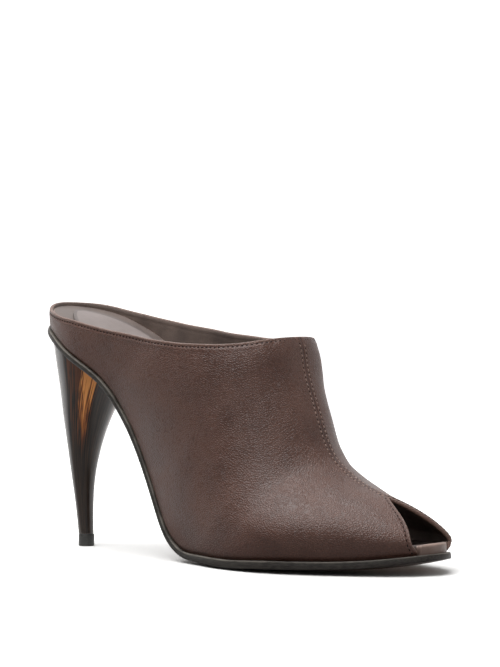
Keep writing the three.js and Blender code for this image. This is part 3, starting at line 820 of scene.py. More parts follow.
@dataclass
class UpperGrid:
    """Fine sheets of the upper: outer skin and lining, with distances to the edges and the seam."""

    shape: FootShape
    rear: int = 90
    vamp: int = 110
    toe: int = 40
    between: int = 40
    edge_fade: float = 2.0
    tuck: float = 0.95
    tuck_height: float = 1.15
    skive: float = 0.2
    skive_width: float = 1.2
    lining_relief: float = 0.6
    clearance: float = 0.12
    at: Array = field(init=False)
    sides: list[Side] = field(init=False)
    skin: Array = field(init=False)
    lining: Array = field(init=False)
    normals: Array = field(init=False)
    edge_mm: Array = field(init=False)
    seam_mm: Array = field(init=False)

    def __post_init__(self) -> None:
        """Builds the sheets."""
        self._lay_columns()
        self._measure()
        self._mould()

    def stations(self, side: Side) -> list[float]:
        """Positions of the columns on one side, back to toe corner.

        Args:
            side: side of the foot.

        Returns:
            Shares of the length.
        """
        s = self.shape.s
        rear = s.throat_at * (0.5 - 0.5 * np.cos(np.pi * np.arange(self.rear) / self.rear))
        vamp = s.throat_at + (s.apex_at - s.throat_at) * np.arange(self.vamp) / self.vamp
        turn = np.sin(np.pi / 2 * np.arange(self.toe + 1) / self.toe)
        toe = s.apex_at + (self.shape.corner(side) - s.apex_at) * turn
        return np.concatenate([rear, vamp, toe]).tolist()

    def _lay_columns(self) -> None:
        """Lays the columns from the outer toe corner round the heel to the inner one."""
        plan = [(Side.OUTER, at) for at in self.stations(Side.OUTER)[:0:-1]]
        plan += [(Side.INNER, at) for at in self.stations(Side.INNER)]
        self.sides = [side for side, _ in plan]
        self.at = np.array([at for _, at in plan])
        columns = [
            self.shape.section_column(side, at, NEAR_FOOT, NEAR_TOP, self.between) for side, at in plan
        ]
        self.skin = np.stack(columns, axis=1)
        self.normals = sheet_normals(self.skin)
        if (self.normals[5, 0] * (0, -1, 0)).sum() < 0:
            self.normals = -self.normals
        self._mend_normals()

    def _mend_normals(self, rows: int = 9, columns: int = 5) -> None:
        """Evens the normals beside the seam's top, where the columns run along the topline.

        Args:
            rows: how many rows below the top are evened.
            columns: how many columns on each side of the seam.
        """
        rear = np.flatnonzero(self.at <= self.shape.s.throat_at + 1e-9)
        for run in (rear[:columns + 1], rear[:-columns - 2:-1]):
            share = (np.arange(columns + 1) / columns)[:, None]
            for row in range(-rows, 0):
                first, last = self.normals[row, run[0]].copy(), self.normals[row, run[-1]].copy()
                self.normals[row, run] = unit(first * (1 - share) + last * share)

    def _measure(self) -> None:
        """Measures how far each point is from the topline, the toe opening and the seam."""
        s = self.shape.s
        top = self.skin[-1]
        self.rear_run = np.flatnonzero(self.at <= s.throat_at + 1e-9)
        toe_run = self.at >= s.apex_at - 1e-9
        self.outer_toe, self.inner_toe = (
            np.flatnonzero(toe_run & np.array([one is side for one in self.sides])) for side in Side
        )
        seam_run = [
            i for i, side in enumerate(self.sides)
            if side is Side.INNER and s.throat_at - 1e-9 <= self.at[i] <= s.apex_at + 1e-9
        ]
        self.topline = top[self.rear_run]
        vee = np.concatenate([top[self.outer_toe], top[self.inner_toe]])
        self.edge_mm = np.minimum(
            distance_to_path(self.skin, self.topline), distance_to_path(self.skin, vee)
        )
        self.seam_mm = distance_to_path(self.skin, top[seam_run])

    def _mould(self) -> None:
        """Rolls the edges, sinks the seam, turns the foot in and makes the lining."""
        s = self.shape.s
        near = np.exp(-self.edge_mm / self.edge_fade)
        seam = relief(self.seam_mm, SEAM_FORMS) * (1 - near)
        height = self.skin[..., 2] - self.shape.sole_top(self.skin[..., 0], self.skin[..., 1])
        tuck = -self.tuck * bump_at(height, 0.0, self.tuck_height)
        lift = relief(self.edge_mm, EDGE_FORMS) + seam + tuck + self._hand_forms()
        self.skin = self.skin + self.normals * lift[..., None]
        foot = self.skin[0]
        foot[:, 2] = self.shape.clear_of_sole(foot[:, 0], foot[:, 1], self.clearance)
        wall = s.wall * (1 - self.skive * np.exp(-self.edge_mm / self.skive_width))
        self.lining = self.skin - self.normals * (wall + lift * self.lining_relief)[..., None]
        under = self.lining[0]
        under[:, 2] = self.shape.clear_of_sole(under[:, 0], under[:, 1], self.clearance)

    def _hand_forms(self) -> Array:
        """Soft hollows and swells of lasted leather, listed one by one.

        Returns:
            Lift of each point in mm.
        """
        rows = np.linspace(0, 1, self.skin.shape[0])[:, None]
        lift = np.zeros(self.skin.shape[:2])
        for side, at, up, long, tall, height in HAND_FORMS:
            mask = np.array([one is side for one in self.sides])[None, :]
            shape = bump_at(self.at[None, :], at, long) * bump_at(rows, up, tall)
            lift += np.where(mask, height * shape, 0)
        return lift


# Side, share of the length, share of the section, spread along and up, and lift in mm.
HAND_FORMS = (
    (Side.OUTER, 0.42, 0.45, 0.05, 0.3, -0.22),
    (Side.OUTER, 0.5, 0.62, 0.03, 0.2, 0.16),
    (Side.OUTER, 0.55, 0.4, 0.02, 0.25, -0.14),
    (Side.OUTER, 0.62, 0.5, 0.05, 0.3, 0.12),
    (Side.OUTER, 0.2, 0.5, 0.05, 0.3, -0.15),
    (Side.OUTER, 0.11, 0.6, 0.03, 0.3, 0.1),
    (Side.INNER, 0.4, 0.5, 0.05, 0.3, -0.2),
    (Side.INNER, 0.5, 0.55, 0.03, 0.22, 0.16),
    (Side.INNER, 0.57, 0.4, 0.02, 0.25, -0.12),
    (Side.INNER, 0.2, 0.5, 0.05, 0.3, -0.15),
)


def crossing(values: Array, target: float, *sheets: Array) -> list[Array]:
    """Where each column of a sheet first reaches a value, going down from the top.

    Args:
        values: rows x columns, growing away from the top row.
        target: wanted value.
        sheets: arrays of rows x columns x 3 to read there.

    Returns:
        One array of points for each sheet, in column order, missing columns left out.
    """
    found: list[list[Array]] = [[] for _ in sheets]
    rows, columns = values.shape
    for i in range(columns):
        line = values[::-1, i]
        reach = np.flatnonzero(line >= target)
        if len(reach) == 0 or reach[0] == 0:
            continue
        j = reach[0]
        part = (target - line[j - 1]) / max(line[j] - line[j - 1], 1e-9)
        for k, sheet in enumerate(sheets):
            here = sheet[::-1, i]
            found[k].append(here[j - 1] + (here[j] - here[j - 1]) * part)
    return [np.array(points) for points in found]


@dataclass
class Upper:
    """The moulded leather upper with its lining and turned edges."""

    grid: UpperGrid
    rim_height: float = 0.4

    def build(self, leather: Material, lining: Material) -> Piece:
        """Makes the upper's piece.

        Args:
            leather: outer finish.
            lining: inner finish.

        Returns:
            The piece.
        """
        g = self.grid
        body = Body(("edge_mm", "seam_mm"))
        body.add_grid(g.skin, 0, edge_mm=g.edge_mm, seam_mm=g.seam_mm)
        body.add_grid(g.lining, 1, flip=True, edge_mm=g.edge_mm, seam_mm=g.seam_mm)
        body.add_grid(np.stack([g.skin[0], g.lining[0]]), 0, flip=True)
        self._add_rim(body, g.rear_run)
        for run, corner in ((g.outer_toe, 0), (g.inner_toe, -1)):
            self._add_rim(body, run)
            self._add_corner(body, corner)
        return body.make("upper_leather", [leather, lining], "upper", sharp=75)

    def _add_rim(self, body: Body, run: Array) -> None:
        """Adds the rounded edge along the top of some columns.

        Args:
            body: body that takes it.
            run: column numbers.
        """
        g = self.grid
        away = edge_away(g.skin[-1][run], g.skin[-4][run], g.normals[-1][run])
        rings = rim_rings(g.skin[-1][run], g.lining[-1][run], away, self.rim_height)
        body.add_grid(rings[:4], 0, edge_mm=0.0)
        body.add_grid(rings[3:], 0, edge_mm=0.0)

    def _add_corner(self, body: Body, column_at: int) -> None:
        """Adds the short upright edge at a toe corner.

        Args:
            body: body that takes it.
            column_at: number of the corner's column.
        """
        g = self.grid
        beside = 3 if column_at == 0 else -4
        away = edge_away(g.skin[:, column_at], g.skin[:, beside], g.normals[:, column_at])
        rings = rim_rings(g.skin[:, column_at], g.lining[:, column_at], away, self.rim_height)
        body.add_grid(rings, 0, flip=column_at == 0, edge_mm=0.0)


# Finish numbers of the stitching's piece.
EDGE_THREAD, SEAM_THREAD, NEEDLE_HOLE = range(3)
# Place along a stitch, from -1 to 1, and thickness there as a share of the thread's radius.
STITCH_FORM = ((-1.0, 0.35), (-0.82, 0.8), (-0.35, 1.0), (0.35, 1.0), (0.82, 0.8), (1.0, 0.35))
# Size of each ring of the dark disc painted as a needle hole's shade, as a share of its radius, and its
# height over the leather in mm.
HOLE_FORM = ((1.0, -0.04), (0.75, 0.03), (0.3, 0.045), (0.01, 0.05))


@dataclass
class Stitching:
    """Rows of thread along the topline, the seam and the toe opening, and dark discs painted as the shade in
    the seam's needle holes.
    """

    grid: UpperGrid
    pitch: float = 2.1
    length: float = 1.25
    seam_length: float = 1.15
    radius: float = 0.33
    sunk: float = 0.08
    hole: float = 0.42
    edge_distance: float = 1.15
    edge_sunk: float = 0.1
    vee_distance: float = 1.75
    seam_distance: float = 1.45

    def rows(self) -> list[tuple[int, Array, Array]]:
        """Finds the rows.

        Returns:
            For each row the number of its thread, its path and the outward normals.
        """
        g = self.grid
        rear = g.rear_run
        out = g.normals[-1][rear]
        inside = edge_away(g.skin[-1][rear], g.skin[-4][rear], out) * self.edge_distance
        found = [
            (EDGE_THREAD, (g.skin[-1][rear] - inside - out * self.edge_sunk, out)),
            (EDGE_THREAD, (g.lining[-1][rear] - inside, -out)),
        ]
        for run in (g.outer_toe, g.inner_toe):
            row = crossing(g.edge_mm[:, run], self.vee_distance, g.skin[:, run], g.normals[:, run])
            found.append((EDGE_THREAD, row))
        s = g.shape.s
        for side in Side:
            run = np.array([
                i for i, one in enumerate(g.sides)
                if one is side and s.throat_at + 0.005 <= g.at[i] <= s.apex_at - 0.004
            ])
            row = crossing(g.seam_mm[:, run], self.seam_distance, g.skin[:, run], g.normals[:, run])
            found.append((SEAM_THREAD, row))
        return [(thread, path, unit(normals)) for thread, (path, normals) in found if len(path) > 3]

    def build(self, threads: Sequence[Material], hole: Material) -> Piece:
        """Makes every stitch.

        Args:
            threads: finishes of the edge thread and the seam thread.
            hole: finish of the dark discs painted as the shade in the seam's needle holes.

        Returns:
            The piece.
        """
        body = Body()
        for thread, path, normals in self.rows():
            self._add_row(body, path, normals, thread)
        return body.make("upper_stitching", [*threads, hole], "upper", replaces=False)

    def _add_row(self, body: Body, path: Array, normals: Array, thread: int) -> None:
        """Adds the stitches of one row, and the painted shade of its needle holes if it runs along the seam.

        Args:
            body: body that takes them.
            path: the row's line.
            normals: outward directions along it.
            thread: number of the thread's finish.
        """
        lengths = np.concatenate([[0], np.cumsum(np.linalg.norm(np.diff(path, axis=0), axis=1))])
        count = int(lengths[-1] / self.pitch)
        long = self.length if thread == EDGE_THREAD else self.seam_length
        order = np.arange(len(path))
        for k in range(count):
            middle = (k + 0.5) * lengths[-1] / count
            ends = np.interp([middle - long / 2, middle, middle + long / 2], lengths, order)
            here = np.stack([np.array([np.interp(e, order, path[:, a]) for a in range(3)]) for e in ends])
            out = unit(normals[int(round(ends[1]))])
            along = unit(here[2] - here[0])
            side = unit(np.cross(along, out))
            rings = []
            for share, size in STITCH_FORM:
                dip = -self.sunk - 0.35 * self.radius * share**4
                centre = here[1] + along * share * long / 2 + out * dip
                turn = np.linspace(0, 2 * math.pi, 6, endpoint=False)[:, None]
                rings.append(centre + self.radius * size * (np.cos(turn) * side + np.sin(turn) * out))
            body.add_grid(np.stack(rings), thread, loop=True)
            if thread == SEAM_THREAD:
                # Only the seam's needle holes get a dark disc of painted shade; the edge thread fills its
                # own.
                self._add_hole(body, here[1] + along * self.pitch / 2, along, side, out)

    def _add_hole(self, body: Body, centre: Array, along: Array, side: Array, out: Array) -> None:
        """Adds a dark shallow oval on the leather, painted shade standing in for the pit of one needle hole.

        Args:
            body: body that takes it.
            centre: its middle.
            along: direction of the row.
            side: direction across the row.
            out: outward direction.
        """
        turn = np.linspace(0, 2 * math.pi, 8, endpoint=False)[:, None]
        rings = []
        for size, lift in HOLE_FORM:
            ring = self.hole * size * (1.15 * np.cos(turn) * along + 0.8 * np.sin(turn) * side)
            rings.append(centre + ring + out * lift)
        body.add_grid(np.stack(rings), NEEDLE_HOLE, loop=True)


# The sole parts


def across_sheet(left: Array, right: Array, count: int) -> Array:
    """Straight rows between two edges.

    Args:
        left: points of one edge.
        right: points of the other.
        count: points in each row.

    Returns:
        Array of rows x count x 3.
    """
    share = np.linspace(0, 1, count)[None, :, None]
    return left[:, None] + (right - left)[:, None] * share


@dataclass
class Outsole:
    """The thin black outsole with softly rounded edges."""

    shape: FootShape
    stations: int = 220
    top_round: float = 0.35
    top_margins: tuple[float, ...] = (1.2, 0.3)
    side_shares: tuple[float, ...] = (0.35, 0.65)
    belly: float = 0.12
    foot_round: float = 0.6
    foot_margins: tuple[float, ...] = (0.4, 1.4)
    drops: list[float] = field(default_factory=list)

    def _edge(self, side: Side, at: Array) -> list[Array]:
        """Edge of one side from its top to its underside.

        Args:
            side: side of the foot.
            at: shares of the length.

        Returns:
            Lines of points along the shoe.
        """
        s = self.shape.s
        welt = s.seat_welt + (s.ball_welt - s.seat_welt) * self.shape.ball_step(at)
        thick = self.shape.outsole_thickness(at)
        profile = [(self.top_round + margin, 0.0) for margin in self.top_margins]
        for turn in np.linspace(0, math.pi / 2, 5):
            profile.append((self.top_round * (1 - math.sin(turn)), self.top_round * (1 - math.cos(turn))))
        profile += [(-self.belly, thick * share) for share in self.side_shares]
        for turn in np.linspace(0, math.pi / 2, 5):
            inset = self.foot_round * (1 - math.cos(turn))
            profile.append((inset, thick - self.foot_round * (1 - math.sin(turn))))
        profile += [(self.foot_round + margin, thick) for margin in self.foot_margins]
        lines = []
        self.drops = [float(np.max(drop)) for _, drop in profile]
        for inset, drop in profile:
            point = self.shape.feather(side, at, welt - inset)
            x, y = point[:, 0], point[:, 1]
            point[:, 2] = self.shape.sole_top(x, y)
            point = point - self.shape.sole_normal(x, y) * np.broadcast_to(drop, x.shape)[:, None]
            point[:, 2] = np.maximum(point[:, 2], 0)
            lines.append(point)
        return lines

    def build(self, edge: Material, tread: Material) -> Piece:
        """Makes the outsole's piece.

        Args:
            edge: finish of the top and the edge.
            tread: finish of the underside.

        Returns:
            The piece.
        """
        at = 0.5 - 0.5 * np.cos(np.pi * np.arange(self.stations + 1) / self.stations)
        outer, inner = self._edge(Side.OUTER, at), self._edge(Side.INNER, at)
        body = Body(("rise_mm",))
        drops = np.array(self.drops)[None, :]
        body.add_grid(np.stack(outer[::-1], axis=1), 0, flip=True, rise_mm=drops[:, ::-1])
        body.add_grid(np.stack(inner, axis=1), 0, flip=True, rise_mm=drops)
        top = across_sheet(outer[0], inner[0], 14)
        top[..., 2] = self.shape.sole_top(top[..., 0], top[..., 1])
        body.add_grid(top, 0, flip=True)
        foot = across_sheet(outer[-1], inner[-1], 14)
        foot[..., 2] = self.shape.sole_top(foot[..., 0], foot[..., 1])
        drop = self.shape.outsole_thickness(at)[:, None, None]
        foot = foot - self.shape.sole_normal(foot[..., 0], foot[..., 1]) * drop
        foot[..., 2] = np.maximum(foot[..., 2], 0)
        body.add_grid(foot, 1)
        return body.make("outsole_edge", [edge, tread], "outsole", sharp=50)


@dataclass
class Insole:
    """The padded insole board, wrapped in leather, and its bare edge at the open toe."""

    grid: UpperGrid
    clearance: float = 0.12
    foot_level: float = 0.3
    wall_gap: float = 0.35
    side_round: float = 0.45
    toe_round: float = 1.1
    toe_round_from: float = 0.93
    toe_round_over: float = 0.04
    tip_from: float = 0.985
    tip_over: float = 0.012
    narrow: float = 8.0
    bare: int = 60

    def sides(self, side: Side) -> tuple[Array, Array, Array]:
        """Lines of the foot and the top edge of one side.

        Args:
            side: side of the foot.

        Returns:
            Shares of the length, foot points and top points, back to toe.
        """
        g, shape = self.grid, self.grid.shape
        s = shape.s
        run = [i for i, one in enumerate(g.sides) if one is side]
        if side is Side.OUTER:
            run = run[::-1]
            run = [run[0] + 1] + run
        at = g.at[run].copy()
        keep = at <= shape.corner(side) - 0.004
        run, at = np.array(run)[keep], at[keep]
        feet, tops = [], []
        inner = g.lining[:, run] - g.normals[:, run] * self.clearance
        height = inner[..., 2] - shape.sole_top(inner[..., 0], inner[..., 1])
        height = height * shape.sole_normal(shape.plain_x(at), shape.middle_y(at))[None, :, 2]
        for i in range(len(run)):
            for level, out in ((self.foot_level, feet), (float(shape.insole_thickness(at[i])), tops)):
                out.append([np.interp(level, height[:, i], inner[:, i, a]) for a in range(3)])
        corner = shape.corner(side)
        more = corner + (1 - corner) * np.sin(np.pi / 2 * np.arange(self.bare + 1) / self.bare)
        share = np.clip((more - corner) / 0.006, 0, 1)
        blend = share * share * (3 - 2 * share)
        inset = (s.wall + self.wall_gap) + (s.toe_inset - s.wall - self.wall_gap) * blend
        foot = shape.feather(side, more, -inset)
        foot[:, 2] = shape.clear_of_sole(foot[:, 0], foot[:, 1], 0.15)
        top = foot.copy()
        top[:, 2] += shape.insole_thickness(more) - self.foot_level
        return (
            np.concatenate([at, more]),
            np.concatenate([np.array(feet), foot]),
            np.concatenate([np.array(tops), top]),
        )

    def build(self, leather: Material, edge: Material) -> Piece:
        """Makes the insole's piece.

        Args:
            leather: finish of its top.
            edge: finish of its edge.

        Returns:
            The piece.
        """
        at, outer_foot, outer_top = self.sides(Side.OUTER)
        _, inner_foot, inner_top = self.sides(Side.INNER)
        self.at, self.outer_top, self.inner_top = at, outer_top, inner_top
        body = Body(("rim_mm",))
        across = unit(inner_top - outer_top + np.array([0, 1e-6, 0]))
        ahead = np.clip((at - self.toe_round_from) / self.toe_round_over, 0, 1)
        rounding = self.side_round + (self.toe_round - self.side_round) * ahead
        rims = []
        for foot, top, way, flip in (
            (outer_foot, outer_top, across, False), (inner_foot, inner_top, -across, True),
        ):
            # Where the insole narrows to its tip, the rounding turns to face backwards.
            way = way * np.minimum(1, np.linalg.norm(inner_top - outer_top, axis=1) / self.narrow)[:, None]
            tip = np.clip((at - self.tip_from) / self.tip_over, 0, 1)[:, None]
            way = unit(way * (1 - tip) + tip * np.array([-1.0, 0, 0]) + 1e-9)
            rings = [foot, foot + (top - foot) * 0.3, foot + (top - foot) * 0.6]
            for turn in np.linspace(0, math.pi / 2, 7):
                inset = (rounding * (1 - math.cos(turn)))[:, None]
                drop = (rounding * (1 - math.sin(turn)))[:, None] * np.array([0, 0, 1.0])
                rings.append(top + way * inset - drop)
            rings = np.stack(rings, axis=1)
            values = np.linspace(-3, 0, rings.shape[1])[None, :]
            body.add_grid(rings, 1, flip=flip, rim_mm=values)
            rims.append(rings[:, -1])
        body.add_grid(self.over(*rims, at, 40), 0, flip=True, rim_mm=5.0)
        body.add_grid(across_sheet(outer_foot, inner_foot, 6), 1)
        return body.make("insole_leather", [leather, edge], "insole", sharp=70)

    def over(self, outer: Array, inner: Array, at: Array, count: int) -> Array:
        """Top of the insole, a little dished.

        Args:
            outer: points of the outer rim.
            inner: points of the inner rim.
            at: shares of the length.
            count: points across.

        Returns:
            Array of rows x count x 3.
        """
        sheet = across_sheet(outer, inner, count)
        share = np.linspace(-1, 1, count)[None, :]
        dish = 0.5 * self.grid.shape.crown_drop(at)[:, None]
        sheet[..., 2] -= dish * (1 - share * share)
        return sheet


@dataclass
class SockPad:
    """The leather sock with its turned contour edge, on the insole's seat and waist."""

    insole: Insole
    stations: int = 150
    across: int = 40
    back_margin: float = 0.012
    root: float = 0.35
    side_height: float = 0.3
    edge_round: float = 0.5
    end_steepness: float = 400.0

    def build(self, leather: Material) -> Piece:
        """Makes the sock's piece.

        Args:
            leather: its finish.

        Returns:
            The piece.
        """
        shape = self.insole.grid.shape
        s = shape.s
        along = 0.5 - 0.5 * np.cos(np.pi * np.arange(self.stations + 1) / self.stations)
        back_at = s.sock_border / s.length + self.back_margin
        at = back_at + (s.sock_front_at - back_at) * along
        outer, inner = (
            np.stack([np.interp(at, self.insole.at, top[:, a]) for a in range(3)], 1)
            for top in (self.insole.outer_top, self.insole.inner_top)
        )
        width = np.linalg.norm(inner - outer, axis=1)
        rounding = np.sqrt(np.maximum(1 - np.abs(2 * along - 1) ** 4, 0))
        reach = np.maximum(0.5 - s.sock_border / width, 0) * rounding
        upright = shape.sole_normal(shape.plain_x(at), shape.middle_y(at))[:, None]
        body = Body(("rim_mm",))
        levels = []
        profile = [(0.0, -self.root), (0.0, self.side_height)]
        for turn in np.linspace(0, math.pi / 2, 6):
            lift = self.side_height + self.edge_round * math.sin(turn)
            profile.append((self.edge_round * (1 - math.cos(turn)), lift))
        profile.append((self.edge_round + 1.0, self.side_height + self.edge_round))
        shares = np.linspace(-1, 1, self.across + 1)[None, :]
        dish = 0.5 * shape.crown_drop(at)[:, None]
        for inset, lift in profile:
            cut = np.clip(reach - inset / width, 0, 1)[:, None]
            share = 0.5 + cut * shares
            sheet = outer[:, None] + (inner - outer)[:, None] * share[..., None]
            sheet[..., 2] -= dish * (1 - (2 * share - 1) ** 2)
            squeeze = np.clip((along[:, None] * (1 - along[:, None])) * self.end_steepness, 0, 1)
            levels.append(sheet + upright * (lift * squeeze)[..., None])
        for k in range(len(levels) - 1):
            for column_at, flip in ((0, True), (-1, False)):
                strip = np.stack([levels[k][:, column_at], levels[k + 1][:, column_at]], axis=1)
                body.add_grid(strip, 0, flip=not flip, rim_mm=profile[k][0])
        edge = np.minimum(np.arange(self.across + 1), self.across - np.arange(self.across + 1))
        rim = edge[None, :] / self.across * width[:, None] * 2 * reach[:, None]
        rim = np.minimum(rim, (at - at[0])[:, None] * s.length * 0.6)
        body.add_grid(levels[-1], 0, flip=True, rim_mm=rim)
        return body.make("sock_leather", [leather], "sock_pad", sharp=70)


# The heel


@dataclass
class Heel:
    """The polished stiletto heel."""

    shape: FootShape
    around: int = 192
    levels: int = 140
    clearance: float = 0.12
    tip_gap: float = 0.15
    foot_round: float = 0.35
    foot_lift: float = 0.3
    search_from: float = 40.0
    search_past: float = 6.0
    halvings: int = 36

    def __post_init__(self) -> None:
        """Turns the heel's table into curves."""
        self.back, self.front, self.half = (
            table_curve(SmoothCurve, HEEL_ROWS, HEEL_COLUMNS, name) for name in ("back", "front", "half")
        )

    def point(self, angle: Array, z: Array) -> Array:
        """Point of the heel's side.

        Args:
            angle: angle round the heel, 0 to the toe.
            z: height in mm.

        Returns:
            Points.
        """
        s = self.shape.s
        share = z / (s.ball_top + s.heel_height)
        back, front = self.back(share) * s.back_x, self.front(share) * s.length
        half = self.half(share) * s.ball_width
        centre = back + half
        reach = np.where(np.cos(angle) > 0, front - centre, half)
        return stack(centre + reach * np.cos(angle), half * np.sin(angle), z)

    def build(self, horn: Material) -> Piece:
        """Makes the heel's piece.

        Args:
            horn: its finish.

        Returns:
            The piece.
        """
        s, shape = self.shape.s, self.shape
        angle = 2 * np.pi * np.arange(self.around) / self.around
        # The heel's top edge is where each upright meets the outsole, found by halving.
        low = np.full(self.around, self.search_from)
        high = np.full(self.around, s.ball_top + s.heel_height + self.search_past)
        for _ in range(self.halvings):
            middle = (low + high) / 2
            point = self.point(angle, middle)
            at = (point[:, 0] - s.back_x) / s.length
            below = shape.outsole_thickness(at) + self.clearance
            upright = shape.sole_normal(point[:, 0], point[:, 1])[:, 2]
            inside = point[:, 2] < shape.sole_top(point[:, 0], point[:, 1]) - below / upright
            low, high = np.where(inside, middle, low), np.where(inside, high, middle)
        bottom = s.tip_height + self.tip_gap
        shares = np.linspace(0, 1, self.levels)[:, None]
        z = bottom + (low[None, :] - bottom) * shares
        side = self.point(np.broadcast_to(angle, z.shape), z)
        foot = self.point(angle, np.full(self.around, bottom))
        centre = foot.mean(axis=0)
        rings = [centre + (foot - centre) * k for k in (0.001, 0.5, 0.88)]
        start = side[0]
        inward = unit(centre - start)
        for turn in np.linspace(0, math.pi / 2, 4)[:-1]:
            rings.append(start + inward * self.foot_round * (1 - math.sin(turn)))
        cap = np.stack(rings)
        side[0, :, 2] += self.foot_lift
        body = Body(("streak_x", "streak_y", "up"))
        up = np.clip(z / (s.ball_top + s.heel_height), 0, 1)
        body.add_grid(side, 0, flip=True, loop=True, streak_x=np.cos(angle)[None, :],
                      streak_y=np.sin(angle)[None, :], up=up)
        body.add_grid(np.concatenate([cap, side[:1]]), 0, flip=True, loop=True, streak_x=0, streak_y=0, up=0)
        top_middle = side[-1].mean(axis=0)
        lid = np.stack([side[-1] + (top_middle - side[-1]) * k for k in (0, 0.4, 0.75, 0.999)])
        body.add_grid(lid, 0, flip=True, loop=True, streak_x=0, streak_y=0, up=1)
        return body.make("heel_horn", [horn], "heel", sharp=45)


@dataclass
class HeelTip:
    """The moulded top piece that stands on the ground."""

    sizes: Sizes
    around: int = 96
    bevel: float = 0.3

    def build(self, rubber: Material) -> Piece:
        """Makes the heel tip's piece.

        Args:
            rubber: its finish.

        Returns:
            The piece.
        """
        s, b = self.sizes, self.bevel
        profile = [(0.001, 0.0), (s.tip_radius - 1.2, 0.0), (s.tip_radius - b, 0.0)]
        for turn in np.linspace(0, math.pi / 2, 5)[1:]:
            profile.append((s.tip_radius - b + b * math.sin(turn), b - b * math.cos(turn)))
        profile.append((s.tip_radius - 0.05, s.tip_height * 0.5))
        for turn in np.linspace(0, math.pi / 2, 5):
            profile.append((s.tip_radius - b + b * math.cos(turn), s.tip_height - b + b * math.sin(turn)))
        profile += [(s.tip_radius - 1.2, s.tip_height), (0.001, s.tip_height)]
        angle = 2 * np.pi * np.arange(self.around) / self.around
        rings = [stack(r * np.cos(angle), r * np.sin(angle), z) for r, z in profile]
        body = Body()
        body.add_grid(np.stack(rings), 0, flip=True, loop=True)
        return body.make("heel_top_piece", [rubber], "heel_tip", sharp=40)


# Finishes


def linear(code: str) -> Colour:
    """Turns an sRGB hex colour to linear.

    Args:
        code: colour such as #4F3A32.

    Returns:
        Linear red, green, blue and full alpha.
    """
    parts = [int(code[i:i + 2], 16) / 255 for i in (1, 3, 5)]
    r, g, b = (c / 12.92 if c <= 0.04045 else ((c + 0.055) / 1.055) ** 2.4 for c in parts)
    return (r, g, b, 1.0)


def per_metre(size_mm: float) -> float:
    """Pattern scale whose cells have a real size in millimetres."""
    return 1000.0 / size_mm


def add_node(tree: Tree, kind: str, settings: Optional[dict[Any, Any]] = None,
             links: Optional[dict[Any, Any]] = None) -> Node:
    """Adds a node with its settings and links.

    Args:
        tree: node tree.
        kind: Blender's node type.
        settings: values of the node's own properties or of its inputs, by name or number.
        links: output sockets that feed its inputs, by name or number.

    Returns:
        The node.
    """
    node = tree.nodes.new(kind)
    own = {k: v for k, v in (settings or {}).items() if isinstance(k, str) and hasattr(node, k)}
    for key, value in own.items():
        setattr(node, key, value)
    for key, value in (settings or {}).items():
        if key not in own:
            node.inputs[key].default_value = value
    for key, socket in (links or {}).items():
        tree.links.new(socket, node.inputs[key])
    return node


def combine(tree: Tree, way: str, first: Socket,
            second: Socket) -> Socket:
    """Works out one value from two.

    Args:
        tree: node tree.
        way: the operation, such as MULTIPLY.
        first: first value.
        second: second value.

    Returns:
        Value output.
    """
    return add_node(tree, "ShaderNodeMath", {"operation": way}, {0: first, 1: second}).outputs[0]


def ramp(tree: Tree, value: Socket,
         stops: Sequence[tuple[float, str | Colour]]) -> Socket:
    """Colours a value along some stops.

    Args:
        tree: node tree.
        value: what is coloured.
        stops: positions, and colours as sRGB hex codes or linear.

    Returns:
        Colour output.
    """
    node = add_node(tree, "ShaderNodeValToRGB", links={"Fac": value})
    elements = node.color_ramp.elements
    while len(elements) < len(stops):
        elements.new(0.5)
    for element, (place, colour) in zip(elements, stops):
        element.position = place
        element.color = linear(colour) if isinstance(colour, str) else colour
    return node.outputs["Color"]


def span(tree: Tree, value: Socket, low: float, high: float,
         to_low: float = 0.0, to_high: float = 1.0) -> Socket:
    """Maps a stretch of values smoothly onto another.

    Args:
        tree: node tree.
        value: what is mapped.
        low: start of the stretch.
        high: end of the stretch.
        to_low: result at the start.
        to_high: result at the end.

    Returns:
        Mapped output.
    """
    settings = {
        "interpolation_type": "SMOOTHSTEP", "From Min": low, "From Max": high, "To Min": to_low,
        "To Max": to_high,
    }
    return add_node(tree, "ShaderNodeMapRange", settings, {"Value": value}).outputs["Result"]


def blend_colour(tree: Tree, share: Any, first: Any, second: Any,
                 way: str = "MIX") -> Socket:
    """Blends two colours.

    Args:
        tree: node tree.
        share: socket or number from 0 to 1.
        first: socket or sRGB hex code at 0.
        second: socket or sRGB hex code at 1.
        way: blend type.

    Returns:
        Colour output.
    """
    settings: dict[Any, Any] = {"data_type": "RGBA", "blend_type": way}
    links: dict[Any, Any] = {}
    for key, value in ((0, share), (6, first), (7, second)):
        value = linear(value) if isinstance(value, str) else value
        (links if isinstance(value, Socket) else settings)[key] = value
    return add_node(tree, "ShaderNodeMix", settings, links).outputs[2]


def point_value(tree: Tree, name: str) -> Socket:
    """Reads a per-point value of the mesh."""
    return add_node(tree, "ShaderNodeAttribute", {"attribute_name": name}).outputs["Fac"]


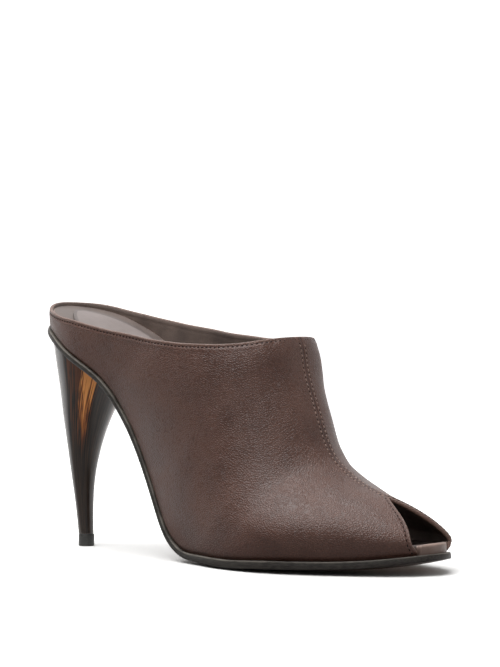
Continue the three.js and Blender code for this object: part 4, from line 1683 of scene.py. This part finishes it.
@dataclass(frozen=True)
class Surface:
    """What every finish has."""

    name: str
    roughness: float = 0.5
    ior: float = 1.5
    specular: float = 0.5
    coat: float = 0.0
    coat_roughness: float = 0.1
    sheen: float = 0.0

    def start(self) -> tuple[Material, Tree, Node, Socket]:
        """Makes the material with its shader.

        Returns:
            Material, node tree, shader and the object's coordinates.
        """
        material = bpy.data.materials.new(self.name)
        material.use_nodes = True
        tree = material.node_tree
        tree.nodes.clear()
        settings = {
            "Roughness": self.roughness, "IOR": self.ior, "Specular IOR Level": self.specular,
            "Coat Weight": self.coat, "Coat Roughness": self.coat_roughness,
            "Sheen Weight": self.sheen, "Sheen Roughness": 0.4,
        }
        shader = add_node(tree, "ShaderNodeBsdfPrincipled", settings)
        add_node(tree, "ShaderNodeOutputMaterial", links={"Surface": shader.outputs["BSDF"]})
        place = add_node(tree, "ShaderNodeTexCoord").outputs["Object"]
        return material, tree, shader, place

    def noise(self, tree: Tree, place: Socket, size_mm: float,
              detail: float = 3.0) -> Socket:
        """Cloudy noise with features of a real size.

        Args:
            tree: node tree.
            place: coordinates in metres.
            size_mm: size of a feature.
            detail: finer layers in it.

        Returns:
            Value output.
        """
        settings = {"Scale": per_metre(size_mm), "Detail": detail, "Roughness": 0.55}
        return add_node(tree, "ShaderNodeTexNoise", settings, {"Vector": place}).outputs["Fac"]

    def bump(self, tree: Tree, height: Socket, depth_mm: float,
             under: Optional[Socket] = None) -> Socket:
        """Relief of a real depth.

        Args:
            tree: node tree.
            height: heights from 0 to 1.
            depth_mm: depth of the full range.
            under: relief that it lies on.

        Returns:
            Normal output.
        """
        links = {"Height": height}
        if under is not None:
            links["Normal"] = under
        settings = {"Strength": 1.0, "Distance": depth_mm * MM}
        return add_node(tree, "ShaderNodeBump", settings, links).outputs["Normal"]

    def feed(self, tree: Tree, shader: Node, colour: Socket,
             relief: Socket) -> None:
        """Feeds colour and relief to the shader.

        Args:
            tree: node tree.
            shader: the finish's shader.
            colour: its colour.
            relief: its normal.
        """
        tree.links.new(colour, shader.inputs["Base Color"])
        tree.links.new(relief, shader.inputs["Normal"])

    def feed_roughness(self, tree: Tree, shader: Node, cloud: Socket,
                       less: float, more: float) -> None:
        """Feeds the shader a roughness that clouds over.

        Args:
            tree: node tree.
            shader: the finish's shader.
            cloud: noise that it follows.
            less: how far it falls below the finish's own roughness.
            more: how far it rises above.
        """
        rough = span(tree, cloud, 0.3, 0.7, self.roughness - less, self.roughness + more)
        tree.links.new(rough, shader.inputs["Roughness"])


@dataclass(frozen=True)
class CalfLeather(Surface):
    """Drum-dyed calf leather: pebbled, satin, paler where an edge is turned over a fold, with painted shade
    in the hollows of its grain.
    """

    deep: str = "#482D24"
    body: str = "#52352B"
    pale: str = "#5A3C31"
    edge: str = "#7C6459"
    crease: str = "#33211B"
    groove: str = "#1E1512"
    cloud_mm: float = 16.0
    rub_mm: float = 3.0
    stir_mm: float = 2.5
    stir_m: float = 0.0008
    pebble_mm: float = 0.95
    pebble_depth: float = 0.11
    pore_mm: float = 0.35
    pore_depth: float = 0.012
    swell_mm: float = 7.0
    swell_depth: float = 0.12
    edge_wear: float = 0.5

    def make(self) -> Material:
        """Makes the leather.

        Returns:
            The material.
        """
        material, tree, shader, place = self.start()
        # The dye takes unevenly: broad soft clouds between the deep and the pale brown.
        cloud = self.noise(tree, place, self.cloud_mm, 4)
        colour = ramp(tree, cloud, ((0.3, self.deep), (0.5, self.body), (0.72, self.pale)))
        # The grain's pebbles are pushed about a little, so that no two are alike.
        stir = add_node(tree, "ShaderNodeTexNoise", {"Scale": per_metre(self.stir_mm), "Detail": 2.0},
                        {"Vector": place}).outputs["Color"]
        moved = add_node(tree, "ShaderNodeVectorMath", {
            "operation": "MULTIPLY_ADD", 1: (self.stir_m,) * 3,
        }, {0: stir, 2: place}).outputs[0]
        cells = add_node(tree, "ShaderNodeTexVoronoi", {
            "feature": "DISTANCE_TO_EDGE", "Scale": per_metre(self.pebble_mm), "Randomness": 1.0,
        }, {"Vector": moved}).outputs["Distance"]
        pebbles = span(tree, cells, 0.0, 0.28)
        # The hollows between the grain's pebbles are darkened: painted shade.
        colour = blend_colour(tree, span(tree, cells, 0.0, 0.12, 0.5, 0.0), colour, self.crease)
        # Turned edges are rubbed to a paler brown; the seam's groove keeps its dye.
        edge = span(tree, point_value(tree, "edge_mm"), 0.1, 0.75, self.edge_wear, 0.0)
        rub = self.noise(tree, place, self.rub_mm, 3)
        edge = combine(tree, "MULTIPLY", edge, span(tree, rub, 0.25, 0.6, 0.55, 1.0))
        colour = blend_colour(tree, edge, colour, self.edge)
        seam = span(tree, point_value(tree, "seam_mm"), 0.06, 0.4, 0.6, 0.0)
        colour = blend_colour(tree, seam, colour, self.groove)
        relief = self.bump(tree, self.noise(tree, place, self.pore_mm, 2), self.pore_depth)
        relief = self.bump(tree, pebbles, self.pebble_depth, relief)
        relief = self.bump(tree, self.noise(tree, place, self.swell_mm, 3), self.swell_depth, relief)
        self.feed(tree, shader, colour, relief)
        self.feed_roughness(tree, shader, cloud, 0.05, 0.07)
        return material


@dataclass(frozen=True)
class SmoothLeather(Surface):
    """Thin smooth leather on a lining, insole or sock, with a darker worked border."""

    deep: str = "#6E5D54"
    body: str = "#8B7870"
    pale: str = "#9A8A82"
    border: str = "#5F5048"
    border_mm: tuple[float, float] = (0.0, 0.9)
    border_share: float = 0.6
    value: str = "rim_mm"
    cloud_mm: float = 11.0
    pore_mm: float = 0.6
    pore_depth: float = 0.02
    swell_mm: float = 5.0
    swell_depth: float = 0.06

    def make(self) -> Material:
        """Makes the leather.

        Returns:
            The material.
        """
        material, tree, shader, place = self.start()
        cloud = self.noise(tree, place, self.cloud_mm, 4)
        colour = ramp(tree, cloud, ((0.28, self.deep), (0.5, self.body), (0.72, self.pale)))
        pores = self.noise(tree, place, self.pore_mm, 2)
        colour = blend_colour(tree, span(tree, pores, 0.35, 0.5, 0.25, 0.0), colour, self.deep)
        rim = span(tree, point_value(tree, self.value), self.border_mm[0], self.border_mm[1],
                   self.border_share, 0.0)
        colour = blend_colour(tree, rim, colour, self.border)
        relief = self.bump(tree, pores, self.pore_depth)
        relief = self.bump(tree, self.noise(tree, place, self.swell_mm, 3), self.swell_depth, relief)
        self.feed(tree, shader, colour, relief)
        self.feed_roughness(tree, shader, cloud, 0.04, 0.06)
        return material


@dataclass(frozen=True)
class InkedEdge(Surface):
    """Ground and inked sole edge, or its buffed tread: nearly black, with fine lengthwise marks, and where
    set a pale band painted along its top arris as a highlight.
    """

    body: str = "#2B2A27"
    pale: str = "#3A3833"
    cloud_mm: float = 8.0
    mark_mm: float = 0.5
    mark_depth: float = 0.02
    worn: str = "#6A6660"
    worn_share: float = 0.0

    def make(self) -> Material:
        """Makes the finish.

        Returns:
            The material.
        """
        material, tree, shader, place = self.start()
        stretched = add_node(tree, "ShaderNodeMapping", {"Scale": (0.12, 0.5, 1.0)},
                             {"Vector": place}).outputs[0]
        marks = self.noise(tree, stretched, self.mark_mm, 3)
        cloud = self.noise(tree, place, self.cloud_mm, 3)
        colour = ramp(tree, marks, ((0.35, self.body), (0.7, self.pale)))
        colour = blend_colour(tree, span(tree, cloud, 0.35, 0.7, 0.0, 0.5), colour, self.pale)
        if self.worn_share > 0:
            # A pale band along the upper arris of the edge is a painted highlight.
            rubbed = span(tree, point_value(tree, "rise_mm"), 0.15, 0.8, self.worn_share, 0.0)
            rubbed = combine(tree, "MULTIPLY", rubbed, span(tree, cloud, 0.35, 0.6, 0.35, 1.0))
            colour = blend_colour(tree, rubbed, colour, self.worn)
        self.feed(tree, shader, colour, self.bump(tree, marks, self.mark_depth))
        self.feed_roughness(tree, shader, cloud, 0.06, 0.08)
        return material


@dataclass(frozen=True)
class HornAcetate(Surface):
    """Polished cellulose acetate in horn colours: dark, with upright amber streaks under a clear gloss."""

    body: str = "#191615"
    brown: str = "#30251E"
    smoke: str = "#4A382C"
    red: str = "#55301B"
    honey: str = "#A8652F"
    amber: str = "#DD9450"
    drawn: Point = (0.013, 0.013, 0.004)
    streak_mm: float = 3.2
    hair_mm: float = 0.8
    ripple_mm: float = 6.0
    ripple_depth: float = 0.02
    taper: float = 0.06
    fray: float = 0.03

    def patch(self, tree: Tree, frayed: Socket, degrees: float, width: float,
              low: float, high: float, soft: float) -> Socket:
        """Mask of a streak at one side of the heel.

        Args:
            tree: node tree.
            frayed: noise that frays the streak's sides.
            degrees: angle round the heel, 0 to the toe and 90 to the inner side.
            width: how near the streak's angle counts, as a cosine.
            low: share of the height where it starts.
            high: share of the height where it is full.
            soft: softness of its lower end.

        Returns:
            Value output.
        """
        around = add_node(tree, "ShaderNodeCombineXYZ", links={
            "X": point_value(tree, "streak_x"), "Y": point_value(tree, "streak_y"),
        }).outputs[0]
        way = (math.cos(math.radians(degrees)), math.sin(math.radians(degrees)), 0.0)
        near = add_node(tree, "ShaderNodeVectorMath", {"operation": "DOT_PRODUCT", 1: way},
                        {0: around}).outputs["Value"]
        # The streak narrows on its way down.
        lean = span(tree, point_value(tree, "up"), 0.0, 1.0, -self.taper, 0.0)
        near = combine(tree, "ADD", near, lean)
        near = combine(tree, "ADD", near, span(tree, frayed, 0.3, 0.7, -self.fray, self.fray))
        up = span(tree, point_value(tree, "up"), low - soft, high)
        return combine(tree, "MULTIPLY", span(tree, near, width, 1.0), up)

    def make(self) -> Material:
        """Makes the acetate.

        Returns:
            The material.
        """
        material, tree, shader, place = self.start()
        # The sheet is laid upright, so its streaks run up the heel as fine as hair.
        axes = (("X", "streak_x"), ("Y", "streak_y"), ("Z", "up"))
        links = {axis: point_value(tree, name) for axis, name in axes}
        around = add_node(tree, "ShaderNodeCombineXYZ", links=links).outputs[0]
        drawn = add_node(tree, "ShaderNodeVectorMath", {"operation": "MULTIPLY", 1: self.drawn},
                         {0: around}).outputs[0]
        streaks = self.noise(tree, drawn, self.streak_mm, 4)
        hair = self.noise(tree, drawn, self.hair_mm, 3)
        colour = ramp(tree, hair, ((0.35, self.body), (0.62, self.brown), (0.8, self.smoke)))
        for degrees, width, low, high, soft, share in HORN_STREAKS:
            mask = self.patch(tree, hair, degrees, width, low, high, soft)
            torn = combine(tree, "MULTIPLY", mask, span(tree, streaks, 0.3, 0.5, 0.55, 1.0))
            strands = span(tree, hair, 0.3, 0.62, share * 0.55, share * 1.15)
            streak = combine(tree, "MULTIPLY", torn, strands)
            # A streak is brown at its sides and amber in its middle.
            glow = ramp(tree, streak, (
                (0.05, self.brown), (0.3, self.red), (0.55, self.honey), (0.8, self.amber),
            ))
            colour = blend_colour(tree, span(tree, streak, 0.02, 0.2), colour, glow)
        ripple = self.noise(tree, drawn, self.ripple_mm, 2)
        self.feed(tree, shader, colour, self.bump(tree, ripple, self.ripple_depth))
        return material


# Angle round the heel, nearness as a cosine, share of the height where a streak starts and is full,
# softness of its lower end, and strength.
HORN_STREAKS = (
    (-57.0, 0.92, 0.42, 0.85, 0.12, 1.1),
    (-82.0, 0.95, 0.15, 0.9, 0.15, 0.28),
    (-142.0, 0.93, 0.4, 0.95, 0.2, 0.55),
    (22.0, 0.95, 0.5, 0.8, 0.15, 0.55),
    (75.0, 0.93, 0.45, 0.85, 0.15, 0.8),
    (150.0, 0.95, 0.5, 0.8, 0.15, 0.5),
)


@dataclass(frozen=True)
class SpunPolyester(Surface):
    """Twisted polyester sewing thread: fine slanting plies and a soft glint."""

    body: str = "#241712"
    pale: str = "#3B2921"
    ply_mm: float = 0.45
    ply_depth: float = 0.06

    def make(self) -> Material:
        """Makes the thread.

        Returns:
            The material.
        """
        material, tree, shader, place = self.start()
        ply = self.noise(tree, place, self.ply_mm, 1)
        colour = ramp(tree, ply, ((0.35, self.body), (0.68, self.pale)))
        self.feed(tree, shader, colour, self.bump(tree, ply, self.ply_depth))
        return material


@dataclass(frozen=True)
class SeamlessPaper(Surface):
    """White studio paper: matt, with the faintest tooth, and glowing; where shaded is set, the glow fades
    round the shoe and paints its shadow on the floor.
    """

    body: str = "#F2F2F1"
    tooth: str = "#EFEFEE"
    tooth_mm: float = 1.5
    glow: float = 0.0
    shade_middle: tuple[float, float, float] = (-0.1, 0.0, 0.0)
    shade_scale: tuple[float, float, float] = (7.0, 15.0, 0.0)
    shaded: float = 0.0

    def make(self) -> Material:
        """Makes the paper.

        Returns:
            The material.
        """
        material, tree, shader, place = self.start()
        tooth = self.noise(tree, place, self.tooth_mm, 2)
        colour = ramp(tree, tooth, ((0.3, self.tooth), (0.7, self.body)))
        tree.links.new(colour, shader.inputs["Base Color"])
        shader.inputs["Emission Color"].default_value = (1.0, 1.0, 1.0, 1.0)
        moved = add_node(tree, "ShaderNodeVectorMath", {"operation": "ADD", 1: self.shade_middle},
                         {0: place}).outputs[0]
        scaled = add_node(tree, "ShaderNodeVectorMath", {"operation": "MULTIPLY", 1: self.shade_scale},
                          {0: moved}).outputs[0]
        far = add_node(tree, "ShaderNodeVectorMath", {"operation": "LENGTH"}, {0: scaled}).outputs["Value"]
        # The glow fades out towards shade_middle beside the shoe: a painted shadow round the shoe.
        glow = span(tree, far, 0.8, 1.7, self.glow * (1 - self.shaded), self.glow)
        tree.links.new(glow, shader.inputs["Emission Strength"])
        return material


@dataclass(frozen=True)
class BounceCard(Surface):
    """Matt card under the paper, white behind the shoe and grey in front: what the low forms mirror; behind
    the shoe it glows, a fill light that is no lamp.
    """

    white: float = 1.0
    grey: float = 0.34
    front: tuple[float, float, float] = (0.25, -0.97, 0.0)
    start_m: float = 0.02
    end_m: float = 0.05
    glow: float = 0.35

    def make(self) -> Material:
        """Makes the card.

        Returns:
            The material.
        """
        material, tree, shader, place = self.start()
        ahead = add_node(tree, "ShaderNodeVectorMath", {"operation": "DOT_PRODUCT", 1: self.front},
                         {0: place}).outputs["Value"]
        share = span(tree, ahead, self.start_m, self.end_m, self.white, self.grey)
        colour = add_node(tree, "ShaderNodeCombineColor", links={0: share, 1: share, 2: share}).outputs[0]
        tree.links.new(colour, shader.inputs["Base Color"])
        shader.inputs["Emission Color"].default_value = (1.0, 0.97, 0.95, 1.0)
        # Behind the shoe the card glows, lighting the shoe from below though it is no lamp.
        tree.links.new(span(tree, ahead, self.start_m, self.end_m, self.glow, 0.0),
                       shader.inputs["Emission Strength"])
        return material


class Finish(Enum):
    """The finishes of the shoe."""

    UPPER = CalfLeather("drum_dyed_calf", roughness=0.39, ior=1.5)
    LINING = SmoothLeather("goat_lining", roughness=0.6, deep="#3D312C", body="#4F413A", pale="#5D4E46",
                           border="#6E5D54", border_share=0.4, value="edge_mm")
    BORDER = SmoothLeather("insole_kid_leather", roughness=0.5, deep="#4C413C", body="#5A4F4A",
                           pale="#645751")
    TOE_EDGE = SmoothLeather("insole_wrapped_edge", roughness=0.5, deep="#76635A", body="#8D786E",
                             pale="#9B8880", border="#4A3A33", border_mm=(-3.0, -1.2))
    SOCK = SmoothLeather("sock_kid_leather", roughness=0.48, deep="#665B57", body="#726865", pale="#7B716E",
                         border="#3A302C", border_mm=(0.0, 1.3), border_share=0.85)
    # The pale band on the sole edge's top arris is a painted highlight.
    EDGE = InkedEdge("inked_leather_edge", roughness=0.5, specular=0.3, body="#211E1C", pale="#3E3A36",
                     worn="#7C766E", worn_share=0.65)
    TREAD = InkedEdge("buffed_leather_tread", roughness=0.6, body="#3B2B24", pale="#55443A", mark_mm=0.9,
                      mark_depth=0.04)
    HORN = HornAcetate("polished_horn_acetate", roughness=0.3, specular=0.15, coat=0.6, coat_roughness=0.08)
    RUBBER = InkedEdge("moulded_polyurethane", roughness=0.5, body="#1A1918", pale="#2A2927")
    THREAD = SpunPolyester("dark_polyester_thread", roughness=0.7, specular=0.2, body="#1A110D",
                           pale="#2C1E18")
    # The seam thread is paler: partly its own colour, partly a painted highlight for the glints along the
    # seam.
    SEAM_THREAD = SpunPolyester("brown_polyester_thread", roughness=0.45, body="#6A5348", pale="#9C8478")
    # Dark discs painted as the shade in the seam's needle holes.
    HOLE = SpunPolyester("needle_hole", roughness=0.9, specular=0.1, body="#120C0A", pale="#1E1512")
    # The floor glows, and its glow fades to nothing round the shoe: painted shadow.
    PAPER = SeamlessPaper("seamless_paper", roughness=0.9, glow=0.5, shaded=1.0)
    CARD = BounceCard("bounce_card", roughness=0.9)
    BACKGROUND = SeamlessPaper("lit_background", roughness=0.9, glow=1.05)


# Studio


@dataclass
class Studio:
    """Floor, background, lights and camera."""

    floor_radius: float = 1.0
    card_radius: float = 3.8
    dome_foot: float = -1.25
    dome_radius: float = 4.0
    room: float = 0.3
    focal: float = 195.3
    place: Point = (0.8908535, -0.8767908, 0.1238525)
    look: Point = (-0.66898385, 0.74298184, -0.02094242)
    upright: Point = (-0.01401321, 0.01556325, 0.99978068)

    def add_stage(self, name: str, points: Sequence[Point], faces: Sequence[Sequence[int]],
                  finish: Material) -> Piece:
        """Adds a piece of the stage.

        Args:
            name: its name.
            points: its points in metres.
            faces: its faces.
            finish: its material.

        Returns:
            The object.
        """
        mesh = bpy.data.meshes.new(name)
        mesh.from_pydata(list(points), [], [tuple(face) for face in faces])
        mesh.materials.append(finish)
        piece = bpy.data.objects.new(name, mesh)
        bpy.context.scene.collection.objects.link(piece)
        return piece

    def build_floor(self, paper: Material, card: Material) -> None:
        """Lays the paper floor, and under it the card that sets what light comes back up.

        Args:
            paper: finish of the floor that the camera sees.
            card: finish of the card.
        """
        angles = np.linspace(0, 2 * math.pi, 96, endpoint=False)
        rim = [(self.floor_radius * math.cos(a), self.floor_radius * math.sin(a), 0.0) for a in angles]
        floor = self.add_stage("studio_floor", rim, [range(len(rim))], paper)
        floor.visible_glossy = False
        floor.visible_diffuse = False
        wide = self.card_radius / self.floor_radius
        lower = [(wide * x, wide * y, -0.0002) for x, y, _ in rim]
        # The card glows white behind the shoe, a fill light that is no lamp.
        bounce = self.add_stage("studio_bounce_card", lower, [range(len(rim))], card)
        bounce.visible_camera = False

    def build_background(self, white: Material) -> None:
        """Stands an even white background round the floor, which only the camera sees.

        Args:
            white: its finish.
        """
        points, faces = [], []
        turns, rises = 48, 28
        for k in range(rises):
            level = self.dome_foot + (math.pi / 2 - self.dome_foot) * k / rises
            for j in range(turns):
                turn = 2 * math.pi * j / turns
                flat = self.dome_radius * math.cos(level)
                height = self.dome_radius * math.sin(level)
                points.append((flat * math.cos(turn), flat * math.sin(turn), height))
        points.append((0.0, 0.0, self.dome_radius))
        for k in range(rises - 1):
            for j in range(turns):
                after = (j + 1) % turns
                faces.append((k * turns + j, k * turns + after, (k + 1) * turns + after, (k + 1) * turns + j))
        last = (rises - 1) * turns
        faces += [(last + j, last + (j + 1) % turns, len(points) - 1) for j in range(turns)]
        dome = self.add_stage("studio_background", points, faces, white)
        dome.visible_diffuse = False
        dome.visible_glossy = False
        dome.visible_transmission = False
        dome.visible_shadow = False

    def build_world(self) -> None:
        """Fills the room with a little even light."""
        world = bpy.data.worlds.new("dim_room")
        world.use_nodes = True
        tree = world.node_tree
        background = tree.nodes["Background"]
        way = add_node(tree, "ShaderNodeTexCoord").outputs["Generated"]
        up = add_node(tree, "ShaderNodeSeparateXYZ", links={0: way}).outputs["Z"]
        share = add_node(tree, "ShaderNodeMapRange", {"From Min": -0.15, "From Max": 0.6}, {"Value": up})
        light = ramp(tree, share.outputs["Result"], (
            (0.0, (0.25, 0.24, 0.23, 1.0)), (0.35, (0.8, 0.78, 0.76, 1.0)), (1.0, (1.0, 0.99, 0.98, 1.0)),
        ))
        tree.links.new(light, background.inputs["Color"])
        background.inputs["Strength"].default_value = self.room
        bpy.context.scene.world = world
        bpy.context.scene.view_settings.view_transform = "Standard"

    def build_lights(self) -> None:
        """Hangs the soft boxes."""
        for name, place, target, size, radiance in SOFT_BOXES:
            light = bpy.data.lights.new(name, "AREA")
            light.shape = "RECTANGLE"
            light.size, light.size_y = size
            light.energy = radiance * math.pi * size[0] * size[1]
            lamp = bpy.data.objects.new(name, light)
            lamp.location = place
            way = Vector(target) - Vector(place)
            lamp.rotation_euler = way.to_track_quat("-Z", "Y").to_euler()
            lamp.visible_camera = False
            bpy.context.scene.collection.objects.link(lamp)

    def build_camera(self) -> None:
        """Sets the camera at the photograph's angle."""
        data = bpy.data.cameras.new("studio_camera")
        data.sensor_fit = "HORIZONTAL"
        data.sensor_width = 36.0
        data.lens = self.focal
        data.clip_end = 50.0
        camera = bpy.data.objects.new("studio_camera", data)
        look, upright = Vector(self.look), Vector(self.upright)
        right = look.cross(upright).normalized()
        turn = Matrix((right, upright, -look)).transposed().to_4x4()
        camera.matrix_world = Matrix.Translation(Vector(self.place)) @ turn
        bpy.context.scene.collection.objects.link(camera)
        bpy.context.scene.camera = camera


# Name, place and target in metres, size in metres and brightness of the face, white paper being 1.
SOFT_BOXES = (
    ("overhead_box", (0.0, -0.25, 1.0), (0.1, 0.0, 0.0), (1.25, 1.3), 4.4),
    ("back_box", (-1.05, 1.15, 0.75), (0.05, 0.0, 0.1), (3.2, 1.5), 1.0),
    ("left_box", (-1.35, -0.05, 0.2), (0.05, 0.0, 0.05), (0.5, 0.36), 1.2),
    ("right_box", (0.75, 1.3, 0.5), (0.1, 0.0, 0.06), (0.8, 1.0), 0.7),
    ("front_box", (0.65, -1.35, 0.95), (0.1, 0.0, 0.05), (1.2, 0.8), 1.0),
)


def main() -> None:
    """Builds the shoe and the studio."""
    logging.basicConfig(level=logging.INFO, format="%(name)s: %(message)s")
    finish = {one: one.value.make() for one in Finish}
    shape = FootShape(Sizes())
    grid = UpperGrid(shape)
    Upper(grid).build(finish[Finish.UPPER], finish[Finish.LINING])
    Stitching(grid).build([finish[Finish.THREAD], finish[Finish.SEAM_THREAD]], finish[Finish.HOLE])
    Outsole(shape).build(finish[Finish.EDGE], finish[Finish.TREAD])
    insole = Insole(grid)
    insole.build(finish[Finish.BORDER], finish[Finish.TOE_EDGE])
    SockPad(insole).build(finish[Finish.SOCK])
    Heel(shape).build(finish[Finish.HORN])
    HeelTip(shape.s).build(finish[Finish.RUBBER])
    studio = Studio()
    studio.build_world()
    studio.build_floor(finish[Finish.PAPER], finish[Finish.CARD])
    studio.build_background(finish[Finish.BACKGROUND])
    studio.build_lights()
    studio.build_camera()


if __name__ == "__main__":
    main()
